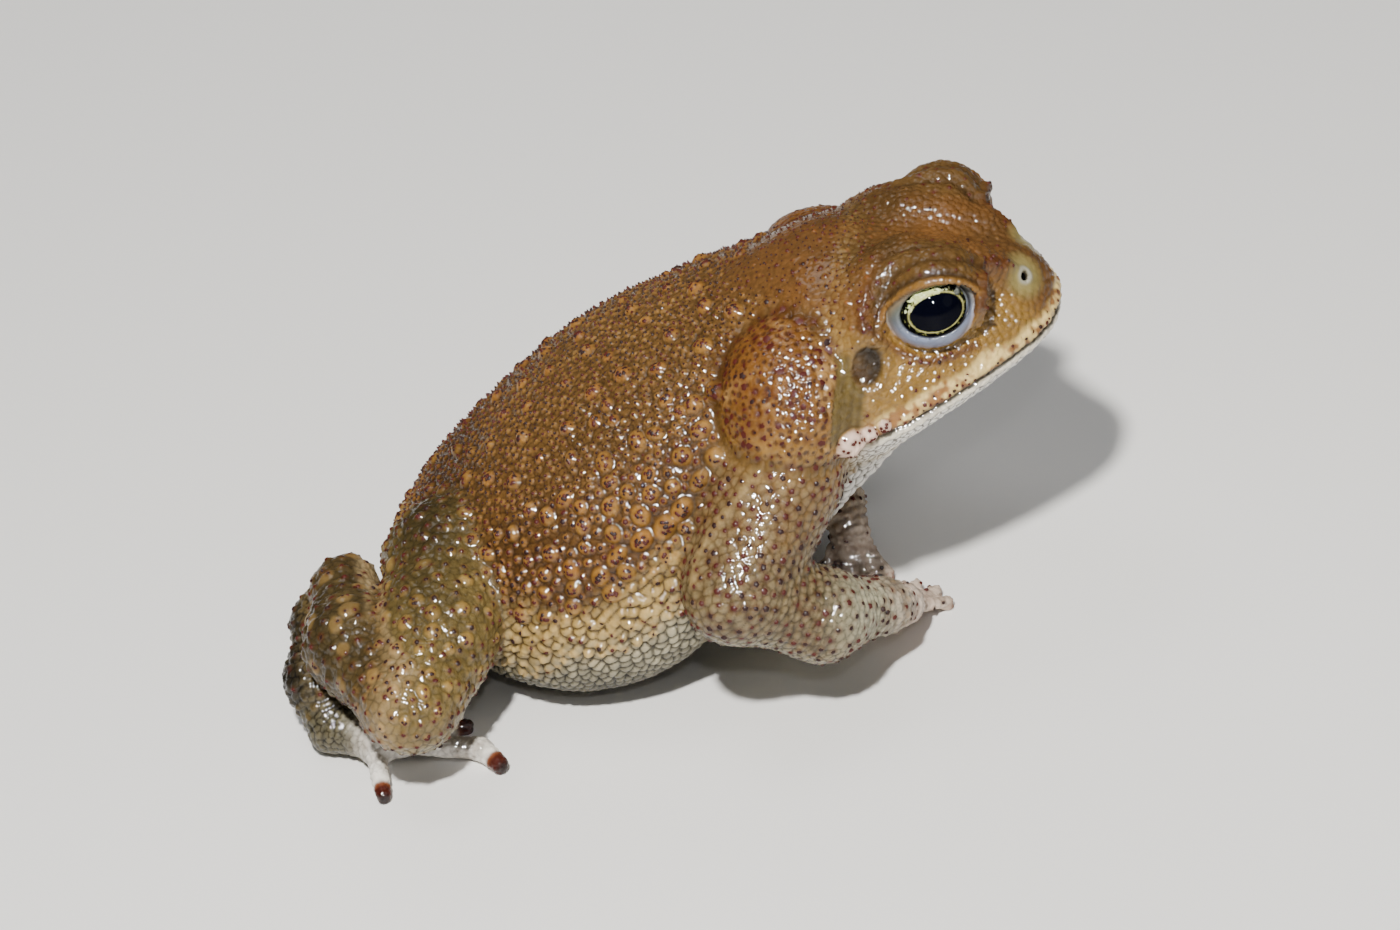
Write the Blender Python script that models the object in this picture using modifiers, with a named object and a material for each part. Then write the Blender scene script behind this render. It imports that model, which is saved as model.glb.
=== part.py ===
"""Cane toad, adult, sitting with its head raised: a still, life-size model.

The toad's own shape is written as a field: for any point, about how far it
lies outside (+) or inside (-) the body, in millimetres.  Each named part of
the body starts as simple solids (balls, hulls of two balls, lofts), becomes
one closed surface, and is then settled onto the field, so neighbouring parts
meet along thin gaps and follow one skin.

World frame: +X towards the snout, +Y the toad's left, +Z up, floor at Z = 0.
"""
import bpy
import bmesh
import numpy as np
from mathutils import Vector, Matrix

# ---------------------------------------------------------------- driving sizes (mm)
MM = 0.001
ORIGIN = (34.54, 3.03, 0.0)     # body frame point that becomes the world origin
GAP = 0.46                      # clear space between neighbouring parts
FLOOR = 0.0

HEAD_AT = (69.5, 0.0, 47.5)     # middle between the jaw corners
HEAD_PITCH = 16.5               # snout up, degrees
MOUTH_W = 0.3                   # mouth line above the head's own level

EYE_R = 6.5
EYE_C = (84.4, 14.2, 68.3)
EYE_OUT = (0.30, 0.90, 0.30)    # where the left eye looks
EYE_SLIT = (0.93, -0.33, 0.12)  # along the opening between the lids
EYE_OPEN = (5.7, 4.5)           # half length and half height of that opening
LID_C = (85.8, 13.5, 69.2)
LID_R = (8.2, 7.7, 7.5)

# crest that borders the upper lid, then runs down behind the eye: points and radii
CREST = [(95.5, 5.4, 67.9), (92.0, 6.0, 69.6), (86.5, 6.4, 71.2), (80.5, 7.2, 72.0), (76.0, 9.6, 70.8),
         (73.6, 13.4, 68.2), (72.6, 16.6, 65.2), (71.0, 18.2, 62.6)]
CREST_R = (2.2, 2.8, 3.7, 4.2, 4.3, 4.1, 3.5, 2.8)

# parotoid gland: the left one sits a little further forward than the right one
GLAND_C = {-1: (59.6, 19.4, 55.7), 1: (62.8, 19.0, 56.6)}
GLAND_R = {-1: (14.9, 12.2, 10.2), 1: (13.6, 11.4, 9.8)}
GLAND_OUT = (0.10, 0.72, 0.69)
GLAND_LONG = (-0.30, 0.66, -0.66)

# trunk, tail end to neck: back x, back z, belly x, belly z, half width,
# share of the depth at which it is widest
TRUNK = [
    (-19.0, 17.5, -17.0, 10.0,  5.0, 0.50),
    (-14.5, 25.0,  -8.0,  4.0, 18.0, 0.55),
    ( -6.0, 33.5,   4.0,  0.2, 28.0, 0.60),
    (  6.5, 44.5,  18.0, -0.6, 35.0, 0.64),
    ( 20.0, 54.0,  32.0,  2.4, 36.5, 0.62),
    ( 34.0, 61.0,  45.0, 10.0, 33.5, 0.58),
    ( 47.0, 66.5,  56.0, 18.5, 28.0, 0.52),
    ( 59.0, 70.5,  66.0, 27.5, 22.5, 0.46),
    ( 70.0, 73.5,  77.0, 38.0, 19.0, 0.42),
]
# head in its own frame, neck to snout tip: u, half width, top, bottom
HEAD = [
    (-14.0, 17.0, 25.0, -12.0),
    ( -8.0, 21.0, 26.5, -10.5),
    (  0.0, 25.0, 27.8,  -9.0),
    (  8.0, 24.0, 26.4,  -8.0),
    ( 16.0, 20.8, 23.0,  -6.8),
    ( 22.0, 17.8, 20.2,  -5.8),
    ( 28.0, 14.2, 16.6,  -4.6),
    ( 32.0, 11.2, 13.7,  -3.6),
    ( 35.0,  7.8, 11.2,  -2.4),
    ( 37.2,  4.0,  8.6,  -0.6),
]
HEAD_MID_W = 2.5
NECK_AT, NECK_N = (65.0, 0.0, 55.0), (0.94, 0.0, 0.34)

# limbs, each side measured outwards from the middle plane (-1 right, +1 left)
ARM = {
    -1: dict(S=(55.5, 24, 42), E=(47.6, 38.0, 29.3), M=(60.6, 33.8, 19.9), W=(69.8, 23.5, 13.0), P=(72.5, 16.5, 7.8),
             F=[[(69.5, 13, 4.4), (67.5, 6.8, 1.25)], [(71.0, 11.0, 4.2), (74.0, 2.7, 1.25)],
                [(72.8, 11.2, 4.2), (77.4, 4.9, 1.3)], [(74.0, 13.0, 4.2), (79.6, 8.3, 1.3)]]),
    +1: dict(S=(55.5, 24, 42), E=(43.0, 38.5, 28.0), M=(51.5, 27.5, 17.0), W=(60.3, 11.5, 10.5), P=(62.3, 6.5, 6.2),
             F=[[(59.5, 6.2, 4.0), (56.6, 3.6, 1.25)], [(61.3, 4.5, 3.6), (60.9, 1.0, 1.25)],
                [(63.3, 4.6, 3.6), (64.8, 0.6, 1.3)], [(65.0, 5.6, 3.6), (68.8, 1.2, 1.3)]]),
}
LEG = {
    -1: dict(hip_r=13.0, H=(-4, 17, 23), K=(-8.9, 48.0, 17.3), S=(-20.5, 33.0, 19.6), A=(-24.0, 18, 20.5), T=(-29.3, 20.0, 15.8),
             M=(-30, 30, 10.5), B=(-26.8, 36.0, 4.4), P=(-18.5, 40.0, 3.9),
             F=[[(-19.5, 37, 3.2), (-14.0, 30.0, 1.15)], [(-17.5, 37.5, 3.3), (-9.0, 31.0, 1.2)],
                [(-15.5, 38.5, 3.4), (-3.9, 34.4, 1.3)], [(-14.0, 40.5, 3.4), (-0.5, 41.6, 2.0), (3.3, 45.7, 1.4)],
                [(-18.5, 42.5, 3.3), (-16.3, 51.7, 1.35)]]),
    +1: dict(hip_r=10.0, H=(7, 20, 19), K=(26, 37.5, 15.2), S=(12.0, 39.5, 15.6), A=(-1.0, 32.0, 13.5), T=(-5.0, 34.5, 9.0),
             M=(1.0, 41.5, 4.6), B=(9, 45.5, 4.1), P=(17, 48.0, 3.9),
             F=[[(19, 45.5, 3.2), (27.0, 43.0, 1.15)], [(20.5, 46.5, 3.3), (32.5, 46.0, 1.2)],
                [(21, 48, 3.4), (38.0, 51.5, 1.3)], [(21, 50, 3.4), (34.0, 56.0, 2.0), (40.0, 60.0, 1.4)],
                [(18, 51, 3.3), (26.0, 60.0, 1.35)]]),
}
FINGER_R = (1.55, 1.55, 1.6, 1.6)
TOE_R = (1.4, 1.5, 1.6, 1.85, 1.65)

# triangles that each part may keep
BUDGET = dict(trunk=1300, head=1150, lower_jaw=420, eye=0, parotoid=260, upper_arm=260, forearm=300,
              hand=560, thigh=320, shank=280, tarsus=240, foot=640)
COLOURS = dict(trunk=(0.36, 0.20, 0.07), head=(0.40, 0.22, 0.07), lower_jaw=(0.62, 0.52, 0.36), eye=(0.02, 0.02, 0.02),
               parotoid=(0.42, 0.24, 0.09), upper_arm=(0.34, 0.24, 0.14), forearm=(0.36, 0.28, 0.20),
               hand=(0.60, 0.52, 0.44), thigh=(0.36, 0.25, 0.12), shank=(0.34, 0.24, 0.13),
               tarsus=(0.36, 0.28, 0.19), foot=(0.58, 0.48, 0.40))


# ---------------------------------------------------------------- field helpers
def V(a):
    return np.array(a, float)


def unit(v):
    v = np.asarray(v, float)
    return v / np.linalg.norm(v)


def smin(a, b, k):
    h = np.maximum(k - np.abs(a - b), 0.0) / k
    return np.minimum(a, b) - h * h * k * 0.25


def smax(a, b, k):
    return -smin(-a, -b, k)


def axes(out, along):
    n = unit(out)
    l = V(along)
    l = unit(l - n * (l @ n))
    return np.stack([l, np.cross(n, l), n], 1)


REACH = 9.0                     # beyond this a piece has no say in the skin


def out_of_reach(P, lo, hi):
    return bool((P.min(0) > hi + REACH).any() or (P.max(0) < lo - REACH).any())


def ball(P, c, r, M=None):
    """ellipsoid with radii r along the columns of M"""
    big = max(r)
    if out_of_reach(P, V(c) - big, V(c) + big):
        return np.full(len(P), REACH)
    Q, r = P - V(c), V(r)
    if M is not None:
        Q = Q @ M
    k0 = np.sqrt(((Q / r) ** 2).sum(1))
    k1 = np.sqrt(((Q / (r * r)) ** 2).sum(1))
    return k0 * (k0 - 1) / np.maximum(k1, 1e-9)


def cone(P, a, b, ra, rb):
    """limb segment with round ends of radius ra and rb"""
    a, b, big = V(a), V(b), max(ra, rb)
    if out_of_reach(P, np.minimum(a, b) - big, np.maximum(a, b) + big):
        return np.full(len(P), REACH)
    Q, ab = P - a, b - a
    t = np.clip(Q @ ab / (ab @ ab), 0, 1)
    return np.sqrt(((Q - t[:, None] * ab) ** 2).sum(1)) - (ra + (rb - ra) * t)


def spline(s, table):
    """smooth rows between the rows of a table, at row number s"""
    T = np.asarray(table, float)
    n = len(T)
    i = np.clip(np.floor(s).astype(int), 0, n - 2)
    t = (s - i)[:, None]
    p0, p1, p2, p3 = T[np.maximum(i - 1, 0)], T[i], T[i + 1], T[np.minimum(i + 2, n - 1)]
    return 0.5 * (2 * p1 + (p2 - p0) * t + (2 * p0 - 5 * p1 + 4 * p2 - p3) * t ** 2 + (3 * p1 - p0 - 3 * p2 + p3) * t ** 3)


def oval(y, n, w, h, e):
    """signed distance-like value of a superellipse section"""
    rho = ((y / w) ** e + (np.abs(n) / h) ** e) ** (1 / e)
    d = np.sqrt(y * y + n * n) * (1 - 1 / np.maximum(rho, 1e-3))
    return np.where(rho < 0.05, -np.minimum(w, h), d)


# ---------------------------------------------------------------- trunk and head
def trunk_rows(n):
    S = spline(np.linspace(0, len(TRUNK) - 1, n), TRUNK)
    D, B = S[:, 0:2], S[:, 2:4]
    U = D - B
    L = np.linalg.norm(U, axis=1)
    return D, B, U / L[:, None], L, S[:, 4], S[:, 5]


TRUNK_ROWS = 64


def trunk_field(P):
    D, B, U, L, W, sh = trunk_rows(TRUNK_ROWS)
    T = np.stack([U[:, 1], -U[:, 0]], 1)
    C = D + (B - D) * sh[:, None]
    p = P[:, [0, 2]]
    G = p @ T.T - (C * T).sum(1)
    j = np.clip((G > 0).sum(1) - 1, 0, TRUNK_ROWS - 2)
    r = np.arange(len(p))
    g0, g1 = G[r, j], G[r, j + 1]
    t = np.clip(g0 / np.where(np.abs(g0 - g1) < 1e-9, 1e-9, g0 - g1), 0, 1)

    def at(A):
        return A[j] + (A[j + 1] - A[j]) * (t[:, None] if A.ndim > 1 else t)
    n = ((p - at(C)) * at(U)).sum(1)
    y = np.abs(P[:, 1])
    h = np.where(n > 0, at(L) * at(sh), at(L) * (1 - at(sh)))
    d = oval(y, n, at(W), h, np.where(n > 0, 2.15, 2.9))
    return smax(d, np.maximum(-G[:, 0], G[:, -1]), 4.0)


_a = np.radians(HEAD_PITCH)
HEAD_M = np.array([[np.cos(_a), 0, -np.sin(_a)], [0, 1, 0], [np.sin(_a), 0, np.cos(_a)]])


def to_head(P):
    return (P - V(HEAD_AT)) @ HEAD_M


def head_field(P):
    Q = to_head(P)
    T = np.array(HEAD)
    u = np.clip(Q[:, 0], T[0, 0], T[-1, 0])
    hw, top, bot = spline(np.interp(u, T[:, 0], np.arange(len(T))), T)[:, 1:].T
    n = Q[:, 2] - HEAD_MID_W
    h = np.where(n > 0, top - HEAD_MID_W, HEAD_MID_W - bot)
    d = oval(np.abs(Q[:, 1]), n, hw, h, np.where(n > 0, 1.75, 2.3))
    return smax(d, np.maximum(T[0, 0] - Q[:, 0], Q[:, 0] - T[-1, 0]), 4.0)


def mirrored(P, s):
    Q = P.copy()
    Q[:, 1] *= s
    return Q


EYE_M = axes(EYE_OUT, EYE_SLIT)
GLAND_M = axes(GLAND_OUT, GLAND_LONG)


def lids(Q):
    return ball(Q, LID_C, LID_R)


def gland(Q, s):
    return ball(Q, GLAND_C[s], GLAND_R[s], GLAND_M)


def crest(Q):
    return chain(Q, CREST, CREST_R, 3.0)


# ---------------------------------------------------------------- limbs
def chain(Q, pts, radii, ks):
    d = None
    for i in range(len(pts) - 1):
        c = cone(Q, pts[i], pts[i + 1], radii[i], radii[i + 1])
        d = c if d is None else smin(d, c, ks)
    return d


def mid(a, b, shift=(0, 0, 0)):
    return (V(a) + V(b)) / 2 + V(shift)


def limb_runs(s):
    """centre points and radii of every limb part on side s"""
    a, l = ARM[s], LEG[s]
    knee_in = V(l['K']) + (V((-2.5, -1.5, 0.3)) if s < 0 else V((-2.0, 0.5, 0)))
    runs = dict(
        upper_arm=[([a['S'], a['E']], [11.3, 8.5])],
        forearm=[([a['E'], a['M'], a['W']], [8.0, 7.3, 4.5])],
        hand=[([a['W'], a['P']], [4.6, 3.4])],
        thigh=[([l['H'], mid(l['H'], l['K'], (0.8, 0, 1)), l['K']], [l['hip_r'], 9.5, 8.3])],
        shank=[([knee_in, l['S'], l['A']], [7.0, 7.6, 6.0])],
        tarsus=[([l['A'], l['T'], l['M'], l['B']], [4.2, 4.3, 4.7, 4.3])],
        foot=[([l['B'], l['P']], [4.2, 3.5])])
    for pts, r in zip(a['F'], FINGER_R):
        runs['hand'].append(([a['P'], pts[0]], [3.0, r + .35]))
        runs['hand'].append((pts, [r + .1 - .12 * i for i in range(len(pts))]))
    for pts, r in zip(l['F'], TOE_R):
        runs['foot'].append(([l['P'], pts[0]], [3.2, r + .35]))
        runs['foot'].append((pts, [r + .1 - .12 * i for i in range(len(pts))]))
    return runs


RUNS = {s: limb_runs(s) for s in (-1, 1)}
BLEND = dict(upper_arm=4, forearm=4, hand=1.4, thigh=5, shank=5, tarsus=3, foot=1.4)
JOIN = dict(upper_arm=3.5, forearm=3.5, hand=1.5, thigh=2.5, shank=1.5, tarsus=1.5, foot=1.5)
LIMBS = tuple(JOIN)


def limb_field(Q, s, name):
    d = None
    for pts, radii in RUNS[s][name]:
        c = chain(Q, pts, radii, BLEND[name])
        d = c if d is None else smin(d, c, BLEND[name])
    return d


def joint_plane(Q, a, b, c):
    """signed distance past joint b of the chain a, b, c, and how far away the joint is (0 to 1)"""
    n = unit(unit(V(b) - V(a)) + unit(V(c) - V(b)))
    r = np.sqrt(((Q - V(b)) ** 2).sum(1))
    return (Q - V(b)) @ n, np.clip((r - JOINT_NEAR) / (JOINT_FAR - JOINT_NEAR), 0, 1)


JOINTS = {('upper_arm', 'forearm'): 'elbow', ('forearm', 'hand'): 'wrist', ('thigh', 'shank'): 'knee',
          ('tarsus', 'foot'): 'ankle'}
JOINT_NEAR, JOINT_FAR = 9.0, 18.0   # a joint's plane counts fully, and no longer, at these distances


def fields(P):
    """the skin of the whole body, each part's own round shape, and the planes that part them"""
    trunk, head = trunk_field(P), head_field(P)
    skin, skull = smin(trunk, head, 5), head
    g, planes = {'trunk': trunk}, {}
    planes['mouth'] = to_head(P)[:, 2] - MOUTH_W
    planes['neck'] = (P - V(NECK_AT)) @ unit(V(NECK_N))
    sides = []
    for s, tag in ((1, '_l'), (-1, '_r')):
        Q = mirrored(P, s)
        lid, gl, ridge = lids(Q), gland(Q, s), crest(Q)
        skin = smin(smin(smin(skin, lid, 2.0), ridge, 3.0), gl, 2.5)
        skull = smin(smin(skull, lid, 2.0), ridge, 3.0)
        g['parotoid' + tag] = gl - 0.2
        sides.append((s, tag, Q))
    g['head'] = g['lower_jaw'] = skull
    for s, tag, Q in sides:
        a, l = ARM[s], LEG[s]
        d = {n: limb_field(Q, s, n) for n in LIMBS}
        skin = smin(skin, smin(d['upper_arm'], d['forearm'], 3.5), JOIN['forearm'])
        for n in ('thigh', 'shank', 'tarsus', 'foot', 'hand'):
            skin = smin(skin, d[n], JOIN[n])
        planes['elbow' + tag], planes['wrist' + tag] = joint_plane(Q, a['S'], a['E'], a['M']), joint_plane(Q, a['M'], a['W'], a['P'])
        planes['knee' + tag], planes['ankle' + tag] = joint_plane(Q, l['H'], l['K'], l['S']), joint_plane(Q, l['M'], l['B'], l['P'])
        for n in LIMBS:
            g[n + tag] = d[n]
    return np.maximum(skin, FLOOR - P[:, 2]), g, planes


def between(a, b, g, planes):
    """below zero on part a's side of the boundary with part b"""
    if a[-2:] == b[-2:] and a[-2:] in ('_l', '_r'):
        for (p, q), plane in JOINTS.items():
            if (a[:-2], b[:-2]) == (p, q):
                flat, far = planes[plane + a[-2:]]
                return 2 * flat * (1 - far) + (g[a] - g[b]) * far
            if (a[:-2], b[:-2]) == (q, p):
                flat, far = planes[plane + a[-2:]]
                return -2 * flat * (1 - far) + (g[a] - g[b]) * far
    if {a, b} == {'head', 'lower_jaw'}:
        return 2 * planes['mouth'] * (1 if a == 'lower_jaw' else -1)
    if 'trunk' in (a, b) and ('head' in (a, b) or 'lower_jaw' in (a, b)):
        return 2 * planes['neck'] * (1 if a == 'trunk' else -1)
    return g[a] - g[b]


def part_field(P, name):
    """inside one part: inside the skin, and on this part's side of every boundary"""
    skin, g, planes = fields(P)
    edge = np.max(np.stack([between(name, other, g, planes) for other in g if other != name]), 0)
    return smax(skin, edge + GAP, 0.5)


def slope(f, P, f0, e=0.05):
    return np.stack([f(P + e * a) - f0 for a in np.eye(3)], 1) / e


def settle(obj, name, steps, longest=1.2, relax=0.0):
    """moves every vertex onto the part's surface; relax evens the mesh on the way"""
    me = obj.data
    n, m = len(me.vertices), len(me.edges)
    co = np.empty(n * 3, np.float32)
    me.vertices.foreach_get('co', co)
    P = co.reshape(-1, 3).astype(float) / MM
    E = np.empty(m * 2, np.int32)
    me.edges.foreach_get('vertices', E)
    E = E.reshape(-1, 2)
    count = np.bincount(E.ravel(), minlength=n)[:, None]
    for k in range(steps):
        if relax:
            mean = np.zeros_like(P)
            np.add.at(mean, E[:, 0], P[E[:, 1]])
            np.add.at(mean, E[:, 1], P[E[:, 0]])
            P += relax * (mean / np.maximum(count, 1) - P)
        f = part_field(P, name)
        G = slope(lambda X: part_field(X, name), P, f)
        g2 = np.maximum((G * G).sum(1), 0.15)
        move = -(f / g2)[:, None] * G
        length = np.linalg.norm(move, axis=1)
        P += move * np.minimum(1.0, longest / np.maximum(length, 1e-9))[:, None]
    me.vertices.foreach_set('co', (P * MM).astype(np.float32).ravel())
    me.update()
    return float(np.abs(part_field(P, name)).max())


# ---------------------------------------------------------------- solid pieces
def clear_scene():
    for o in list(bpy.data.objects):
        bpy.data.objects.remove(o, do_unlink=True)


def material(kind):
    name = kind + '_skin' if kind != 'eye' else 'eye_black'
    m = bpy.data.materials.get(name) or bpy.data.materials.new(name)
    m.use_nodes = True
    b = m.node_tree.nodes['Principled BSDF']
    b.inputs['Base Color'].default_value = (*COLOURS[kind], 1)
    b.inputs['Roughness'].default_value = 0.08 if kind == 'eye' else 0.45
    b.inputs['Metallic'].default_value = 0.0
    return m


def add_ball(bm, c, r, M=None, seg=18):
    R = Matrix(np.eye(3).tolist()) if M is None else Matrix(M.tolist())
    S = Matrix.Diagonal(Vector(V(r) * MM)).to_4x4()
    T = Matrix.Translation(Vector(V(c) * MM)) @ R.to_4x4() @ S
    return bmesh.ops.create_uvsphere(bm, u_segments=seg, v_segments=seg // 2 + 1, radius=1.0, matrix=T)['verts']


def add_segment(bm, a, b, ra, rb):
    """hull of two balls"""
    v = add_ball(bm, a, (ra,) * 3, seg=12) + add_ball(bm, b, (rb,) * 3, seg=12)
    faces = list({f for x in v for f in x.link_faces})
    bmesh.ops.delete(bm, geom=faces, context='FACES_ONLY')
    hull = bmesh.ops.convex_hull(bm, input=v, use_existing_faces=False)
    loose = [g for g in set(hull['geom_interior']) | set(hull['geom_unused']) if isinstance(g, bmesh.types.BMVert)]
    bmesh.ops.delete(bm, geom=[x for x in loose if x.is_valid], context='VERTS')


def add_loft(bm, rings):
    """closed loft through rings of equal count"""
    rows = [[bm.verts.new(Vector(p * MM)) for p in ring] for ring in rings]
    n = len(rows[0])
    for r0, r1 in zip(rows[:-1], rows[1:]):
        for i in range(n):
            bm.faces.new((r0[i], r0[(i + 1) % n], r1[(i + 1) % n], r1[i]))
    bm.faces.new(rows[0][::-1])
    bm.faces.new(rows[-1])


def trunk_rings(n=24, m=26):
    D, B, U, L, W, sh = trunk_rows(m)
    out = []
    for k in range(m):
        c = D[k] + (B[k] - D[k]) * sh[k]
        ring = []
        for a in np.linspace(0, 2 * np.pi, n, endpoint=False):
            h = L[k] * (sh[k] if np.sin(a) > 0 else 1 - sh[k]) * np.sin(a) * 0.97
            ring.append(V((c[0] + U[k, 0] * h, -W[k] * 0.97 * np.cos(a), c[1] + U[k, 1] * h)))
        out.append(ring)
    return out


def head_rings(n=24, low=None, high=None):
    T = np.array(HEAD)
    us = np.linspace(max(T[0, 0], -12.0), T[-1, 0] - 0.6, 22)
    R = spline(np.interp(us, T[:, 0], np.arange(len(T))), T)
    out = []
    for u, (_, hw, top, bot) in zip(us, R):
        ring = []
        for a in np.linspace(0, 2 * np.pi, n, endpoint=False):
            w = HEAD_MID_W + ((top - HEAD_MID_W) if np.sin(a) > 0 else (HEAD_MID_W - bot)) * np.sin(a) * 0.93
            w = min(max(w, low if low is not None else w), high if high is not None else w)
            ring.append(V(HEAD_AT) + HEAD_M @ V((u, -hw * 0.93 * np.cos(a), w)))
        out.append(ring)
    return out


# share of a limb's first segment that its rough shape leaves to its neighbour
ROUGH_START = dict(upper_arm=0.35, forearm=0.35, hand=0.3, thigh=0.45, shank=0.25, tarsus=0.999, foot=0.3)


def rough(name):
    """the part's primitives, overlapping"""
    bm = bmesh.new()
    kind, s = name, 0
    if name[-2:] in ('_l', '_r'):
        kind, s = name[:-2], 1 if name.endswith('_l') else -1
    if kind == 'trunk':
        add_loft(bm, trunk_rings())
    elif kind == 'head':
        add_loft(bm, head_rings(low=1.2))
        for t in (1, -1):
            add_ball(bm, V(LID_C) * V((1, t, 1)), LID_R)
    elif kind == 'lower_jaw':
        add_loft(bm, head_rings(high=-0.6))
    elif kind == 'parotoid':
        F = np.diag([1.0, s, 1.0])
        add_ball(bm, F @ V(GLAND_C[s]), V(GLAND_R[s]), F @ GLAND_M @ np.diag([1.0, s, 1.0]))
    else:
        for k, (pts, radii) in enumerate(RUNS[s][kind]):
            for i in range(len(pts) - 1):
                a, b = V(pts[i]) * V((1, s, 1)), V(pts[i + 1]) * V((1, s, 1))
                ra, rb = radii[i], radii[i + 1]
                if k == 0 and i == 0:
                    t = ROUGH_START.get(kind, 0.0)
                    a, ra = a + (b - a) * t, (ra + (rb - ra) * t) * (1 - 0.15 * (t > 0))
                if (a - b) @ (a - b) > 0.01:
                    add_segment(bm, a, b, ra, rb)
    bmesh.ops.recalc_face_normals(bm, faces=bm.faces[:])
    me = bpy.data.meshes.new(name)
    bm.to_mesh(me)
    bm.free()
    obj = bpy.data.objects.new(name, me)
    return obj


def bake(obj):
    """keeps what the modifiers make"""
    dg = bpy.context.evaluated_depsgraph_get()
    me = bpy.data.meshes.new_from_object(obj.evaluated_get(dg))
    old = obj.data
    obj.modifiers.clear()
    obj.data = me
    bpy.data.meshes.remove(old)
    me.name = obj.name


def remesh(obj, voxel):
    m = obj.modifiers.new('remesh', 'REMESH')
    m.mode = 'VOXEL'
    m.voxel_size = voxel * MM
    m.adaptivity = 0.0
    bake(obj)
    keep_largest(obj)


def keep_largest(obj):
    bm = bmesh.new()
    bm.from_mesh(obj.data)
    seen, groups = set(), []
    for v in bm.verts:
        if v in seen:
            continue
        stack, grp = [v], []
        seen.add(v)
        while stack:
            x = stack.pop()
            grp.append(x)
            for e in x.link_edges:
                y = e.other_vert(x)
                if y not in seen:
                    seen.add(y)
                    stack.append(y)
        groups.append(grp)
    groups.sort(key=len)
    for grp in groups[:-1]:
        bmesh.ops.delete(bm, geom=grp, context='VERTS')
    bm.to_mesh(obj.data)
    bm.free()


def cut(obj, cutter):
    m = obj.modifiers.new('cut', 'BOOLEAN')
    m.operation = 'DIFFERENCE'
    m.solver = 'EXACT'
    m.object = cutter
    bpy.context.view_layer.update()
    bake(obj)


def eye_cutters(coll):
    """for each eye, its ball with the gap round it, and the opening between the lids"""
    out = []
    for s, tag in ((1, '_l'), (-1, '_r')):
        F = np.diag([1.0, s, 1.0])
        M = F @ EYE_M @ np.diag([1.0, s, 1.0])
        bm = bmesh.new()
        add_ball(bm, F @ V(EYE_C), (EYE_R + GAP,) * 3, seg=16)
        out.append(('socket' + tag, bm))
        bm = bmesh.new()
        at = F @ V(EYE_C) + M @ V((0, 0, s * 0.0)) + F @ (EYE_M @ V((0, 0, 8.6)))
        T = Matrix.Translation(Vector(at * MM)) @ Matrix(M.tolist()).to_4x4() @ Matrix.Diagonal(
            Vector((EYE_OPEN[0] * MM, EYE_OPEN[1] * MM, MM))).to_4x4()
        bmesh.ops.create_cone(bm, cap_ends=True, segments=18, radius1=1.0, radius2=1.0, depth=10.0, matrix=T)
        out.append(('lid_opening' + tag, bm))
    objs = []
    for name, bm in out:
        bmesh.ops.recalc_face_normals(bm, faces=bm.faces[:])
        me = bpy.data.meshes.new(name)
        bm.to_mesh(me)
        bm.free()
        o = bpy.data.objects.new(name, me)
        o.hide_render = True
        o.display_type = 'WIRE'
        coll.objects.link(o)
        objs.append(o)
    bpy.context.view_layer.update()
    return objs


def thin_out(obj, target):
    tris = sum(len(p.vertices) - 2 for p in obj.data.polygons)
    t = obj.modifiers.new('tri', 'TRIANGULATE')
    d = obj.modifiers.new('dec', 'DECIMATE')
    d.decimate_type = 'COLLAPSE'
    d.ratio = min(1.0, target / tris)
    bake(obj)


def place(obj, at, coll, root, mat):
    """gives the part its own origin, in the world frame"""
    me = obj.data
    shift = V(at) - V(ORIGIN)
    n = len(me.vertices)
    co = np.empty(n * 3, np.float32)
    me.vertices.foreach_get('co', co)
    me.vertices.foreach_set('co', (co.reshape(-1, 3) - (V(at) * MM)).astype(np.float32).ravel())
    me.update()
    obj.location = Vector(shift * MM)
    coll.objects.link(obj) if obj.name not in coll.objects else None
    obj.parent = root
    me.materials.clear()
    me.materials.append(mat)
    me.shade_smooth()


def origins():
    o = {'trunk': (25, 0, 30), 'head': HEAD_AT, 'lower_jaw': HEAD_AT}
    for s, tag in ((1, '_l'), (-1, '_r')):
        a, l = ARM[s], LEG[s]
        F = V((1, s, 1))
        for k, p in dict(eye=EYE_C, parotoid=GLAND_C[s], upper_arm=a['S'], forearm=a['E'], hand=a['W'], thigh=l['H'],
                         shank=l['K'], tarsus=l['A'], foot=l['B']).items():
            o[k + tag] = V(p) * F
    return o


VOXEL = dict(trunk=1.9, head=1.05, lower_jaw=0.9, parotoid=1.1, upper_arm=1.2, forearm=1.1, hand=0.62,
             thigh=1.3, shank=1.2, tarsus=1.0, foot=0.66)


def main():
    clear_scene()
    coll = bpy.data.collections.new('cane_toad')
    bpy.context.scene.collection.children.link(coll)
    tools = bpy.data.collections.new('cutters')
    bpy.context.scene.collection.children.link(tools)
    root = bpy.data.objects.new('cane_toad_root', None)
    coll.objects.link(root)
    for name, at in origins().items():
        kind = name[:-2] if name[-2:] in ('_l', '_r') else name
        if kind == 'eye':
            bm = bmesh.new()
            add_ball(bm, at, (EYE_R,) * 3, seg=16)
            me = bpy.data.meshes.new(name)
            bm.to_mesh(me)
            bm.free()
            obj = bpy.data.objects.new(name, me)
            coll.objects.link(obj)
        else:
            obj = rough(name)
            coll.objects.link(obj)
            v = VOXEL[kind]
            remesh(obj, v)
            for k in range(6):
                left = settle(obj, name, 6, relax=0.3 if k < 3 else 0.1)
                remesh(obj, v)
                if left < 0.4 and k > 0:
                    break
            left = settle(obj, name, 4)
            thin_out(obj, BUDGET[kind])
            settle(obj, name, 2, 0.25)
            if kind == 'head':
                for c in eye_cutters(tools):
                    cut(obj, c)
                keep_largest(obj)
        place(obj, at, coll, root, material(kind))
        print(name, len(obj.data.vertices), sum(len(p.vertices) - 2 for p in obj.data.polygons), 'off by %.2f mm' % left if kind != 'eye' else '')


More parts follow.
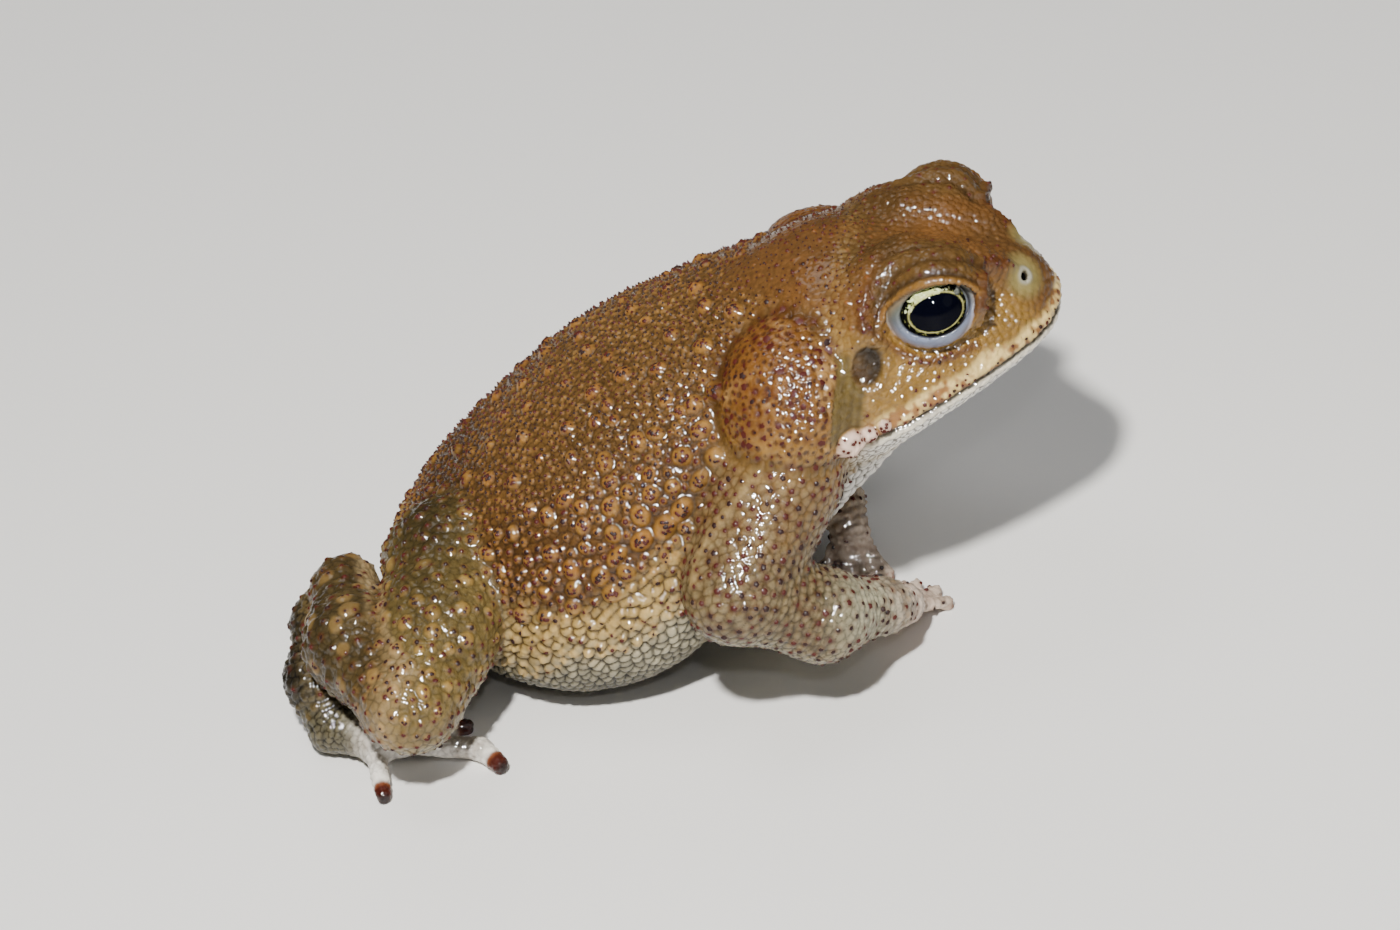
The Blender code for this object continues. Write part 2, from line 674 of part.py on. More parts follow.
main()
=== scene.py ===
"""Cane toad: one fine skin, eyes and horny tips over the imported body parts.

The skin is the body's own field, meshed finely, then raised and creased with
warts, granules, folds and lids.  Colours are worked out from the same shapes
and kept on the skin's points.  Lengths are millimetres in the body frame until
a mesh is made.
"""
import time

import bpy
import numpy as np
from concurrent.futures import ThreadPoolExecutor
from mathutils import Matrix, Vector


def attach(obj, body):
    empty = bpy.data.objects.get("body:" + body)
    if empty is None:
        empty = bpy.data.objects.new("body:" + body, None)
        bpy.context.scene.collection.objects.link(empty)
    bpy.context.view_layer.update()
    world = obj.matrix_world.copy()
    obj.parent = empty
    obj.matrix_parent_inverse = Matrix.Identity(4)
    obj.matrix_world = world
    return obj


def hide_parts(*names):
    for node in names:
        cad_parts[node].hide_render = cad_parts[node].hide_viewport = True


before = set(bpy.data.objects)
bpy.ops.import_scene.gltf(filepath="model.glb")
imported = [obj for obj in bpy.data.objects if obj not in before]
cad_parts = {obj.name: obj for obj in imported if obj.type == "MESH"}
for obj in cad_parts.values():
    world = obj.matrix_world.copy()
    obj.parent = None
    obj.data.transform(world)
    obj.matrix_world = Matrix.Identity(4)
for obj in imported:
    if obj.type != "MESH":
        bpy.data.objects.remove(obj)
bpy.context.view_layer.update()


STARTED = time.time()


def lap(what):
    print('%6.1f s  %s' % (time.time() - STARTED, what), flush=True)


TONE_GAIN = (0.65, 0.64, 0.48)                                   # brightness of all skin colours

# ---------------------------------------------------------------- driving sizes (mm)
MM = 0.001
ORIGIN = (34.54, 3.03, 0.0)     # body frame point that becomes the world origin
GAP = 0.46                      # clear space between neighbouring parts
FLOOR = 0.0

HEAD_AT = (69.5, 0.0, 47.5)     # middle between the jaw corners
HEAD_PITCH = 16.5               # snout up, degrees
MOUTH_W = 0.3                   # mouth line above the head's own level

EYE_R = 6.5
EYE_C = (84.4, 14.2, 68.3)
EYE_OUT = (0.30, 0.90, 0.30)    # where the left eye looks
EYE_SLIT = (0.93, -0.33, 0.12)  # along the opening between the lids
EYE_OPEN = (5.7, 4.5)           # half length and half height of that opening
LID_C = (85.8, 13.5, 69.2)
LID_R = (8.2, 7.7, 7.5)

# crest that borders the upper lid, then runs down behind the eye: points and radii
CREST = [(95.5, 5.4, 67.9), (92.0, 6.0, 69.6), (86.5, 6.4, 71.2), (80.5, 7.2, 72.0), (76.0, 9.6, 70.8),
         (73.6, 13.4, 68.2), (72.6, 16.6, 65.2), (71.0, 18.2, 62.6)]
CREST_R = (2.2, 2.8, 3.7, 4.2, 4.3, 4.1, 3.5, 2.8)

# parotoid gland: the left one sits a little further forward than the right one
GLAND_C = {-1: (59.6, 19.4, 55.7), 1: (62.8, 19.0, 56.6)}
GLAND_R = {-1: (14.9, 12.2, 10.2), 1: (13.6, 11.4, 9.8)}
GLAND_OUT = (0.10, 0.72, 0.69)
GLAND_LONG = (-0.30, 0.66, -0.66)

# trunk, tail end to neck: back x, back z, belly x, belly z, half width,
# share of the depth at which it is widest
TRUNK = [
    (-19.0, 17.5, -17.0, 10.0,  5.0, 0.50),
    (-14.5, 25.0,  -8.0,  4.0, 18.0, 0.55),
    ( -6.0, 33.5,   4.0,  0.2, 28.0, 0.60),
    (  6.5, 44.5,  18.0, -0.6, 35.0, 0.64),
    ( 20.0, 54.0,  32.0,  2.4, 36.5, 0.62),
    ( 34.0, 61.0,  45.0, 10.0, 33.5, 0.58),
    ( 47.0, 66.5,  56.0, 18.5, 28.0, 0.52),
    ( 59.0, 70.5,  66.0, 27.5, 22.5, 0.46),
    ( 70.0, 73.5,  77.0, 38.0, 19.0, 0.42),
]
# head in its own frame, neck to snout tip: u, half width, top, bottom
HEAD = [
    (-14.0, 17.0, 25.0, -12.0),
    ( -8.0, 21.0, 26.5, -10.5),
    (  0.0, 25.0, 27.8,  -9.0),
    (  8.0, 24.0, 26.4,  -8.0),
    ( 16.0, 20.8, 23.0,  -6.8),
    ( 22.0, 17.8, 20.2,  -5.8),
    ( 28.0, 14.2, 16.6,  -4.6),
    ( 32.0, 11.2, 13.7,  -3.6),
    ( 35.0,  7.8, 11.2,  -2.4),
    ( 37.2,  4.0,  8.6,  -0.6),
]
HEAD_MID_W = 2.5
NECK_AT, NECK_N = (65.0, 0.0, 55.0), (0.94, 0.0, 0.34)

# limbs, each side measured outwards from the middle plane (-1 right, +1 left)
ARM = {
    -1: dict(S=(55.5, 24, 42), E=(47.6, 38.0, 29.3), M=(60.6, 33.8, 19.9), W=(69.8, 23.5, 13.0), P=(72.5, 16.5, 7.8),
             F=[[(69.5, 13, 4.4), (67.5, 6.8, 1.25)], [(71.0, 11.0, 4.2), (74.0, 2.7, 1.25)],
                [(72.8, 11.2, 4.2), (77.4, 4.9, 1.3)], [(74.0, 13.0, 4.2), (79.6, 8.3, 1.3)]]),
    +1: dict(S=(55.5, 24, 42), E=(43.0, 38.5, 28.0), M=(51.5, 27.5, 17.0), W=(60.3, 11.5, 10.5), P=(62.3, 6.5, 6.2),
             F=[[(59.5, 6.2, 4.0), (56.6, 3.6, 1.25)], [(61.3, 4.5, 3.6), (60.9, 1.0, 1.25)],
                [(63.3, 4.6, 3.6), (64.8, 0.6, 1.3)], [(65.0, 5.6, 3.6), (68.8, 1.2, 1.3)]]),
}
LEG = {
    -1: dict(hip_r=13.0, H=(-4, 17, 23), K=(-8.9, 48.0, 17.3), S=(-20.5, 33.0, 19.6), A=(-24.0, 18, 20.5), T=(-29.3, 20.0, 15.8),
             M=(-30, 30, 10.5), B=(-26.8, 36.0, 4.4), P=(-18.5, 40.0, 3.9),
             F=[[(-19.5, 37, 3.2), (-14.0, 30.0, 1.15)], [(-17.5, 37.5, 3.3), (-9.0, 31.0, 1.2)],
                [(-15.5, 38.5, 3.4), (-3.9, 34.4, 1.3)], [(-14.0, 40.5, 3.4), (-0.5, 41.6, 2.0), (3.3, 45.7, 1.4)],
                [(-18.5, 42.5, 3.3), (-16.3, 51.7, 1.35)]]),
    +1: dict(hip_r=10.0, H=(7, 20, 19), K=(26, 37.5, 15.2), S=(12.0, 39.5, 15.6), A=(-1.0, 32.0, 13.5), T=(-5.0, 34.5, 9.0),
             M=(1.0, 41.5, 4.6), B=(9, 45.5, 4.1), P=(17, 48.0, 3.9),
             F=[[(19, 45.5, 3.2), (27.0, 43.0, 1.15)], [(20.5, 46.5, 3.3), (32.5, 46.0, 1.2)],
                [(21, 48, 3.4), (38.0, 51.5, 1.3)], [(21, 50, 3.4), (34.0, 56.0, 2.0), (40.0, 60.0, 1.4)],
                [(18, 51, 3.3), (26.0, 60.0, 1.35)]]),
}
FINGER_R = (1.55, 1.55, 1.6, 1.6)
TOE_R = (1.4, 1.5, 1.6, 1.85, 1.65)


# ---------------------------------------------------------------- field helpers
def V(a):
    return np.array(a, float)


def unit(v):
    v = np.asarray(v, float)
    return v / np.linalg.norm(v)


def smin(a, b, k):
    h = np.maximum(k - np.abs(a - b), 0.0) / k
    return np.minimum(a, b) - h * h * k * 0.25


def smax(a, b, k):
    return -smin(-a, -b, k)


def axes(out, along):
    n = unit(out)
    l = V(along)
    l = unit(l - n * (l @ n))
    return np.stack([l, np.cross(n, l), n], 1)


REACH = 9.0                     # beyond this a piece has no say in the skin


def out_of_reach(P, lo, hi):
    return bool((P.min(0) > hi + REACH).any() or (P.max(0) < lo - REACH).any())


def ball(P, c, r, M=None):
    """ellipsoid with radii r along the columns of M"""
    big = max(r)
    if out_of_reach(P, V(c) - big, V(c) + big):
        return np.full(len(P), REACH)
    Q, r = P - V(c), V(r)
    if M is not None:
        Q = Q @ M
    k0 = np.sqrt(((Q / r) ** 2).sum(1))
    k1 = np.sqrt(((Q / (r * r)) ** 2).sum(1))
    return k0 * (k0 - 1) / np.maximum(k1, 1e-9)


def cone(P, a, b, ra, rb):
    """limb segment with round ends of radius ra and rb"""
    a, b, big = V(a), V(b), max(ra, rb)
    if out_of_reach(P, np.minimum(a, b) - big, np.maximum(a, b) + big):
        return np.full(len(P), REACH)
    Q, ab = P - a, b - a
    t = np.clip(Q @ ab / (ab @ ab), 0, 1)
    return np.sqrt(((Q - t[:, None] * ab) ** 2).sum(1)) - (ra + (rb - ra) * t)


def spline(s, table):
    """smooth rows between the rows of a table, at row number s"""
    T = np.asarray(table, float)
    n = len(T)
    i = np.clip(np.floor(s).astype(int), 0, n - 2)
    t = (s - i)[:, None]
    p0, p1, p2, p3 = T[np.maximum(i - 1, 0)], T[i], T[i + 1], T[np.minimum(i + 2, n - 1)]
    return 0.5 * (2 * p1 + (p2 - p0) * t + (2 * p0 - 5 * p1 + 4 * p2 - p3) * t ** 2 + (3 * p1 - p0 - 3 * p2 + p3) * t ** 3)


def oval(y, n, w, h, e):
    """signed distance-like value of a superellipse section"""
    rho = ((y / w) ** e + (np.abs(n) / h) ** e) ** (1 / e)
    d = np.sqrt(y * y + n * n) * (1 - 1 / np.maximum(rho, 1e-3))
    return np.where(rho < 0.05, -np.minimum(w, h), d)


# ---------------------------------------------------------------- trunk and head
def trunk_rows(n):
    S = spline(np.linspace(0, len(TRUNK) - 1, n), TRUNK)
    D, B = S[:, 0:2], S[:, 2:4]
    U = D - B
    L = np.linalg.norm(U, axis=1)
    return D, B, U / L[:, None], L, S[:, 4], S[:, 5]


TRUNK_ROWS = 64


def trunk_field(P):
    D, B, U, L, W, sh = trunk_rows(TRUNK_ROWS)
    T = np.stack([U[:, 1], -U[:, 0]], 1)
    C = D + (B - D) * sh[:, None]
    p = P[:, [0, 2]]
    G = p @ T.T - (C * T).sum(1)
    j = np.clip((G > 0).sum(1) - 1, 0, TRUNK_ROWS - 2)
    r = np.arange(len(p))
    g0, g1 = G[r, j], G[r, j + 1]
    t = np.clip(g0 / np.where(np.abs(g0 - g1) < 1e-9, 1e-9, g0 - g1), 0, 1)

    def at(A):
        return A[j] + (A[j + 1] - A[j]) * (t[:, None] if A.ndim > 1 else t)
    n = ((p - at(C)) * at(U)).sum(1)
    y = np.abs(P[:, 1])
    h = np.where(n > 0, at(L) * at(sh), at(L) * (1 - at(sh)))
    d = oval(y, n, at(W), h, np.where(n > 0, 2.15, 2.9))
    return smax(d, np.maximum(-G[:, 0], G[:, -1]), 4.0)


_a = np.radians(HEAD_PITCH)
HEAD_M = np.array([[np.cos(_a), 0, -np.sin(_a)], [0, 1, 0], [np.sin(_a), 0, np.cos(_a)]])


def to_head(P):
    return (P - V(HEAD_AT)) @ HEAD_M


def head_field(P):
    Q = to_head(P)
    T = np.array(HEAD)
    u = np.clip(Q[:, 0], T[0, 0], T[-1, 0])
    hw, top, bot = spline(np.interp(u, T[:, 0], np.arange(len(T))), T)[:, 1:].T
    n = Q[:, 2] - HEAD_MID_W
    h = np.where(n > 0, top - HEAD_MID_W, HEAD_MID_W - bot)
    d = oval(np.abs(Q[:, 1]), n, hw, h, np.where(n > 0, 1.75, 2.3))
    return smax(d, np.maximum(T[0, 0] - Q[:, 0], Q[:, 0] - T[-1, 0]), 4.0)


def mirrored(P, s):
    Q = P.copy()
    Q[:, 1] *= s
    return Q


EYE_M = axes(EYE_OUT, EYE_SLIT)
GLAND_M = axes(GLAND_OUT, GLAND_LONG)


def lids(Q):
    return ball(Q, LID_C, LID_R)


def gland(Q, s):
    return ball(Q, GLAND_C[s], GLAND_R[s], GLAND_M)


def crest(Q):
    return chain(Q, CREST, CREST_R, 3.0)


# ---------------------------------------------------------------- limbs
def chain(Q, pts, radii, ks):
    d = None
    for i in range(len(pts) - 1):
        c = cone(Q, pts[i], pts[i + 1], radii[i], radii[i + 1])
        d = c if d is None else smin(d, c, ks)
    return d


def mid(a, b, shift=(0, 0, 0)):
    return (V(a) + V(b)) / 2 + V(shift)


def limb_runs(s):
    """centre points and radii of every limb part on side s"""
    a, l = ARM[s], LEG[s]
    knee_in = V(l['K']) + (V((-2.5, -1.5, 0.3)) if s < 0 else V((-2.0, 0.5, 0)))
    runs = dict(
        upper_arm=[([a['S'], a['E']], [11.3, 8.5])],
        forearm=[([a['E'], a['M'], a['W']], [8.0, 7.3, 4.5])],
        hand=[([a['W'], a['P']], [4.6, 3.4])],
        thigh=[([l['H'], mid(l['H'], l['K'], (0.8, 0, 1)), l['K']], [l['hip_r'], 9.5, 8.3])],
        shank=[([knee_in, l['S'], l['A']], [7.0, 7.6, 6.0])],
        tarsus=[([l['A'], l['T'], l['M'], l['B']], [4.2, 4.3, 4.7, 4.3])],
        foot=[([l['B'], l['P']], [4.2, 3.5])])
    for pts, r in zip(a['F'], FINGER_R):
        runs['hand'].append(([a['P'], pts[0]], [3.0, r + .35]))
        runs['hand'].append((pts, [r + .1 - .12 * i for i in range(len(pts))]))
    for pts, r in zip(l['F'], TOE_R):
        runs['foot'].append(([l['P'], pts[0]], [3.2, r + .35]))
        runs['foot'].append((pts, [r + .1 - .12 * i for i in range(len(pts))]))
    return runs


RUNS = {s: limb_runs(s) for s in (-1, 1)}
BLEND = dict(upper_arm=4, forearm=4, hand=1.4, thigh=5, shank=5, tarsus=3, foot=1.4)
JOIN = dict(upper_arm=3.5, forearm=3.5, hand=1.5, thigh=2.5, shank=1.5, tarsus=1.5, foot=1.5)
LIMBS = tuple(JOIN)


def limb_field(Q, s, name):
    d = None
    for pts, radii in RUNS[s][name]:
        c = chain(Q, pts, radii, BLEND[name])
        d = c if d is None else smin(d, c, BLEND[name])
    return d


def joint_plane(Q, a, b, c):
    """signed distance past joint b of the chain a, b, c, and how far away the joint is (0 to 1)"""
    n = unit(unit(V(b) - V(a)) + unit(V(c) - V(b)))
    r = np.sqrt(((Q - V(b)) ** 2).sum(1))
    return (Q - V(b)) @ n, np.clip((r - JOINT_NEAR) / (JOINT_FAR - JOINT_NEAR), 0, 1)


JOINTS = {('upper_arm', 'forearm'): 'elbow', ('forearm', 'hand'): 'wrist', ('thigh', 'shank'): 'knee',
          ('tarsus', 'foot'): 'ankle'}
JOINT_NEAR, JOINT_FAR = 9.0, 18.0   # a joint's plane counts fully, and no longer, at these distances


def fields(P):
    """the skin of the whole body, each part's own round shape, and the planes that part them"""
    trunk, head = trunk_field(P), head_field(P)
    skin, skull = smin(trunk, head, 5), head
    g, planes = {'trunk': trunk}, {}
    planes['mouth'] = to_head(P)[:, 2] - MOUTH_W
    planes['neck'] = (P - V(NECK_AT)) @ unit(V(NECK_N))
    sides = []
    for s, tag in ((1, '_l'), (-1, '_r')):
        Q = mirrored(P, s)
        lid, gl, ridge = lids(Q), gland(Q, s), crest(Q)
        skin = smin(smin(smin(skin, lid, 2.0), ridge, 3.0), gl, 2.5)
        skull = smin(smin(skull, lid, 2.0), ridge, 3.0)
        g['parotoid' + tag] = gl - 0.2
        sides.append((s, tag, Q))
    g['head'] = g['lower_jaw'] = skull
    for s, tag, Q in sides:
        a, l = ARM[s], LEG[s]
        d = {n: limb_field(Q, s, n) for n in LIMBS}
        skin = smin(skin, smin(d['upper_arm'], d['forearm'], 3.5), JOIN['forearm'])
        for n in ('thigh', 'shank', 'tarsus', 'foot', 'hand'):
            skin = smin(skin, d[n], JOIN[n])
        planes['elbow' + tag], planes['wrist' + tag] = joint_plane(Q, a['S'], a['E'], a['M']), joint_plane(Q, a['M'], a['W'], a['P'])
        planes['knee' + tag], planes['ankle' + tag] = joint_plane(Q, l['H'], l['K'], l['S']), joint_plane(Q, l['M'], l['B'], l['P'])
        for n in LIMBS:
            g[n + tag] = d[n]
    return np.maximum(skin, FLOOR - P[:, 2]), g, planes


# ---------------------------------------------------------------- points and noise
WORKERS = 4


def in_blocks(f, P, cell=40.0):
    """f over P a block of space at a time, so that far pieces are passed over; f gives one array or several"""
    c = np.floor(P / cell).astype(np.int64) + 512
    key = (c[:, 0] * 1024 + c[:, 1]) * 1024 + c[:, 2]
    order = np.argsort(key, kind='stable')
    cuts = np.flatnonzero(np.diff(key[order])) + 1
    blocks = []
    for b in np.split(order, cuts):
        blocks += np.array_split(b, 1 + len(b) // 12000)
    with ThreadPoolExecutor(WORKERS) as pool:
        got = list(pool.map(lambda b: f(P[b]), blocks))
    if isinstance(got[0], np.ndarray):
        out = np.empty((len(P),) + got[0].shape[1:], got[0].dtype)
        for b, g in zip(blocks, got):
            out[b] = g
        return out
    out = {k: np.empty(len(P), np.float32) for k in got[0]}
    for b, g in zip(blocks, got):
        for k in out:
            out[k][b] = g[k]
    return out


def hashed(i, j, k, seed):
    h = (i * 73856093) ^ (j * 19349663) ^ (k * 83492791) ^ (seed * 2654435761 % (1 << 31))
    h = (h ^ (h >> 13)) * 1274126177 & 0x7fffffff
    h = (h ^ (h >> 16)) & 0xffff
    return h.astype(np.float32) / 65535.0


def noise(P, size, seed=0):
    """smooth noise from -1 to 1 with lumps about `size` mm across"""
    Q = P / size
    I = np.floor(Q).astype(np.int64)
    F = (Q - I).astype(np.float32)
    F = F * F * (3 - 2 * F)
    out = np.zeros(len(P), np.float32)
    for a in (0, 1):
        for b in (0, 1):
            for c in (0, 1):
                w = (F[:, 0] if a else 1 - F[:, 0]) * (F[:, 1] if b else 1 - F[:, 1]) * (F[:, 2] if c else 1 - F[:, 2])
                out += w * hashed(I[:, 0] + a, I[:, 1] + b, I[:, 2] + c, seed)
    return out * 2 - 1


def fractal(P, size, seed=0, n=3):
    out, a, t = 0, 1.0, 0.0
    for k in range(n):
        out = out + a * noise(P, size / 2 ** k, seed + 17 * k)
        t += a
        a *= 0.55
    return out / t


def step(x, lo, hi):
    t = np.clip((x - lo) / (hi - lo), 0, 1)
    return t * t * (3 - 2 * t)


def bump(x, w):
    return np.exp(-(x / w) ** 2)


def mix(a, b, t):
    t = np.asarray(t)[..., None] if np.ndim(a) and np.ndim(t) else t
    return a * (1 - t) + b * t


def srgb(r, g, b):
    c = np.array([r, g, b], float) / 255
    return np.where(c <= 0.04045, c / 12.92, ((c + 0.055) / 1.055) ** 2.4)


def nearby(W, R, P):
    """every pair of a centre W (reach R each) and a point P within reach: (centre number, point number, distance)"""
    cell = float(np.max(R))
    lo = np.minimum(P.min(0), W.min(0)) - 2 * cell
    n = np.ceil((np.maximum(P.max(0), W.max(0)) - lo) / cell).astype(np.int64) + 3
    c = np.floor((P - lo) / cell).astype(np.int64)
    key = (c[:, 0] * n[1] + c[:, 1]) * n[2] + c[:, 2]
    order = np.argsort(key, kind='stable')
    key = key[order]
    w = np.floor((W - lo) / cell).astype(np.int64)
    R = np.broadcast_to(R, (len(W),))
    found = []
    for dx in (-1, 0, 1):
        for dy in (-1, 0, 1):
            k = ((w[:, 0] + dx) * n[1] + w[:, 1] + dy) * n[2] + w[:, 2]
            a, b = np.searchsorted(key, k - 1), np.searchsorted(key, k + 2)
            m = b - a
            wi = np.repeat(np.arange(len(W)), m)
            at = np.arange(len(wi)) - np.repeat(np.cumsum(m) - m, m) + np.repeat(a, m)
            pi = order[at]
            d = np.sqrt(((P[pi] - W[wi]) ** 2).sum(1))
            ok = d < R[wi]
            found.append((wi[ok], pi[ok], d[ok]))
    return [np.concatenate(x) for x in zip(*found)]


def spread(P, r, rng, rounds=40):
    """numbers of points kept so that no two are closer than the larger of their own distances r"""
    rank = rng.random(len(P))
    a, b, d = nearby(P, r, P)
    ok = (a != b) & (d < np.maximum(r[a], r[b]))
    a, b = a[ok], b[ok]
    a, b = np.concatenate([a, b]), np.concatenate([b, a])
    state = np.zeros(len(P), np.int8)           # 0 open, 1 kept, 2 dropped
    for _ in range(rounds):
        live = (state[a] == 0) & (state[b] == 0)
        a, b = a[live], b[live]
        best = np.full(len(P), -1.0)
        np.maximum.at(best, a, rank[b])
        keep = (state == 0) & (rank > best)
        if not keep.any():
            break
        state[keep] = 1
        state[b[keep[a] & (state[b] == 0)]] = 2
    return np.flatnonzero(state == 1)


# ---------------------------------------------------------------- meshing the field
def surface(f, lo, hi, h):
    """triangles of the surface f = 0 inside a box, from a grid of step h"""
    ax = [np.arange(lo[i], hi[i] + h, h) for i in range(3)]
    n = [len(a) for a in ax]
    val = None
    for cs, reach in ((8, 1.5), (4, 1.6), (2, 1.7), (1, 0)):
        at = [np.arange(0, n[i] + cs, cs) for i in range(3)]
        k = [len(a) for a in at]
        if val is None:
            m = np.arange(k[0] * k[1] * k[2])
            new = np.zeros(len(m))
        else:
            near = val[np.ix_(*[np.minimum((a / (2.0 * cs) + 0.5).astype(int), val.shape[i] - 1) for i, a in enumerate(at)])]
            new = near.reshape(-1)
            m = np.flatnonzero(np.abs(new) < h * 2 * cs * last)
        Q = np.stack([lo[0] + h * at[0][m // (k[1] * k[2])], lo[1] + h * at[1][m // k[2] % k[1]], lo[2] + h * at[2][m % k[2]]], 1)
        new[m] = in_blocks(f, Q)
        val, last = new.reshape(k), reach
    val = val[:n[0], :n[1], :n[2]]
    ins = val < 0
    c = np.zeros([k - 1 for k in n], np.int8)
    for dx in (0, 1):
        for dy in (0, 1):
            for dz in (0, 1):
                c += ins[dx:n[0] - 1 + dx, dy:n[1] - 1 + dy, dz:n[2] - 1 + dz]
    cell = (c > 0) & (c < 8)
    ids = np.full(cell.shape, -1, np.int64)
    ids[cell] = np.arange(cell.sum())
    ii = np.argwhere(cell)
    acc, cnt = np.zeros((len(ii), 3)), np.zeros(len(ii))
    for a in [(x, y, z) for x in (0, 1) for y in (0, 1) for z in (0, 1)]:
        for k in range(3):
            if a[k] == 0:
                b = list(a)
                b[k] = 1
                va = val[ii[:, 0] + a[0], ii[:, 1] + a[1], ii[:, 2] + a[2]]
                vb = val[ii[:, 0] + b[0], ii[:, 1] + b[1], ii[:, 2] + b[2]]
                mm = (va < 0) != (vb < 0)
                t = np.where(mm, va / np.where(mm, va - vb, 1), 0)
                p = np.array(a, float)[None] + t[:, None] * (np.array(b) - np.array(a))[None]
                acc[mm] += p[mm]
                cnt[mm] += 1
    V_ = (ii + acc / np.maximum(cnt, 1)[:, None]) * h + np.array([a[0] for a in ax])
    T = []
    for k in range(3):
        sl = [slice(0, n[j] - 1) if j == k else slice(1, n[j] - 1) for j in range(3)]
        a = ins[tuple(sl)]
        sl[k] = slice(1, n[k])
        e = np.argwhere(a != ins[tuple(sl)]) + np.array([0 if j == k else 1 for j in range(3)])
        fl = ins[e[:, 0], e[:, 1], e[:, 2]]
        du, dv = np.zeros(3, int), np.zeros(3, int)
        du[(k + 1) % 3] = 1
        dv[(k + 2) % 3] = 1
        q = np.stack([ids[tuple((e - du - dv).T)], ids[tuple((e - dv).T)], ids[tuple(e.T)], ids[tuple((e - du).T)]], 1)
        q[~fl] = q[~fl][:, ::-1]
        T += [q[:, [0, 1, 2]], q[:, [0, 2, 3]]]
    return V_, np.concatenate(T)


def refine(P, T, length, values=None):
    """splits every edge longer than `length` (one value per point) once; values are carried to the new points"""
    E = np.sort(np.concatenate([T[:, [0, 1]], T[:, [1, 2]], T[:, [2, 0]]]), 1)
    code = E[:, 0].astype(np.int64) * len(P) + E[:, 1]
    uniq, inv = np.unique(code, return_inverse=True)
    a, b = uniq // len(P), uniq % len(P)
    d = np.sqrt(((P[a] - P[b]) ** 2).sum(1))
    cut = d > 0.5 * (length[a] + length[b])
    new = np.full(len(uniq), -1, np.int64)
    new[cut] = len(P) + np.arange(cut.sum())
    P2 = np.concatenate([P, (P[a[cut]] + P[b[cut]]) / 2])
    for k, v in (values or {}).items():
        values[k] = np.concatenate([v, (v[a[cut]] + v[b[cut]]) / 2])
    m = new[inv].reshape(3, -1).T               # new point on edges 01, 12, 20
    k = (m >= 0).sum(1)
    out = [T[k == 0]]
    t, n = T[k == 3], m[k == 3]
    out += [np.stack([t[:, 0], n[:, 0], n[:, 2]], 1), np.stack([n[:, 0], t[:, 1], n[:, 1]], 1),
            np.stack([n[:, 2], n[:, 1], t[:, 2]], 1), n]
    for s in range(3):                          # one edge cut: it is turned to be edge 01
        w = (k == 1) & (m[:, s] >= 0)
        t, n = np.roll(T[w], -s, 1), m[w, s]
        out += [np.stack([t[:, 0], n, t[:, 2]], 1), np.stack([n, t[:, 1], t[:, 2]], 1)]
    for s in range(3):                          # edges 01 and 12 cut, 20 whole
        w = (k == 2) & (m[:, (s + 2) % 3] < 0)
        t, n0, n1 = np.roll(T[w], -s, 1), m[w, s], m[w, (s + 1) % 3]
        out += [np.stack([n0, t[:, 1], n1], 1), np.stack([t[:, 0], n0, n1], 1), np.stack([t[:, 0], n1, t[:, 2]], 1)]
    return P2, np.concatenate(out)


def normals(P, T):
    f = np.cross(P[T[:, 1]] - P[T[:, 0]], P[T[:, 2]] - P[T[:, 0]])
    N = np.stack([np.bincount(T.ravel(), np.repeat(f[:, k], 3), len(P)) for k in range(3)], 1)
    return N / np.maximum(np.linalg.norm(N, axis=1), 1e-12)[:, None]


def smooth(X, T, times, share=0.5):
    """evens values or places over the mesh"""
    E = np.concatenate([T[:, [0, 1]], T[:, [1, 2]], T[:, [2, 0]]])
    E = np.concatenate([E, E[:, ::-1]])
    n = len(X)
    count = np.maximum(np.bincount(E[:, 0], minlength=n), 1)
    X = X.copy()
    for _ in range(times):
        if X.ndim == 1:
            m = np.bincount(E[:, 0], X[E[:, 1]], n) / count
        else:
            m = np.stack([np.bincount(E[:, 0], X[E[:, 1], k], n) for k in range(X.shape[1])], 1) / count[:, None]
        X += share * (m - X)
    return X


def onto(P, T, f, times=1, relax=0.0, only=None):
    """moves points to the surface of f; `only` limits it to some points"""
    for _ in range(times):
        if relax:
            S = smooth(P, T, 1, relax)
            P = S if only is None else np.where(only[:, None], S, P)
        N = normals(P, T)
        if only is None:
            P = P - N * np.clip(in_blocks(f, P), -0.6, 0.6)[:, None]
        else:
            P = P.copy()
            P[only] -= N[only] * np.clip(in_blocks(f, P[only]), -0.6, 0.6)[:, None]
    return P


# ---------------------------------------------------------------- the skin's field
GAZE = (0.19, 0.92, 0.34)
EYE_AXES = axes(GAZE, EYE_SLIT)
MEMBRANE_R = 7.05


def eye_coords(Q):
    """along the slit (front +), up, outwards"""
    q = (Q - V(EYE_C)) @ EYE_AXES
    return q[:, 0], -q[:, 1], q[:, 2]


def slit(a, up, front, rear, top, bottom, power):
    """distance outside an opening with a front and a rear half length and an upper and a lower height"""
    x = np.abs(a) / np.where(a > 0, front, rear)
    y = np.abs(up) / np.where(up > 0, top, bottom)
    r = (x ** power + y ** power) ** (1 / power)
    return (r - 1) * np.sqrt(a * a + up * up) / np.maximum(r, 1e-3)


def lid_slit(a, up):
    return slit(a, up - 0.1, 7.2, 8.3, 4.4, 7.4, 1.8)


def eye_slit(a, up):
    return slit(a, up + 0.1, 5.8, 5.75, 4.35, 4.3, 2.0)


def membrane_radius(a, up, out):
    """distance from the eye's centre, measured as if the rear half were shorter"""
    a = np.where(a < 0, a / 1.13, a)
    return np.sqrt(a * a + up * up + out * out)


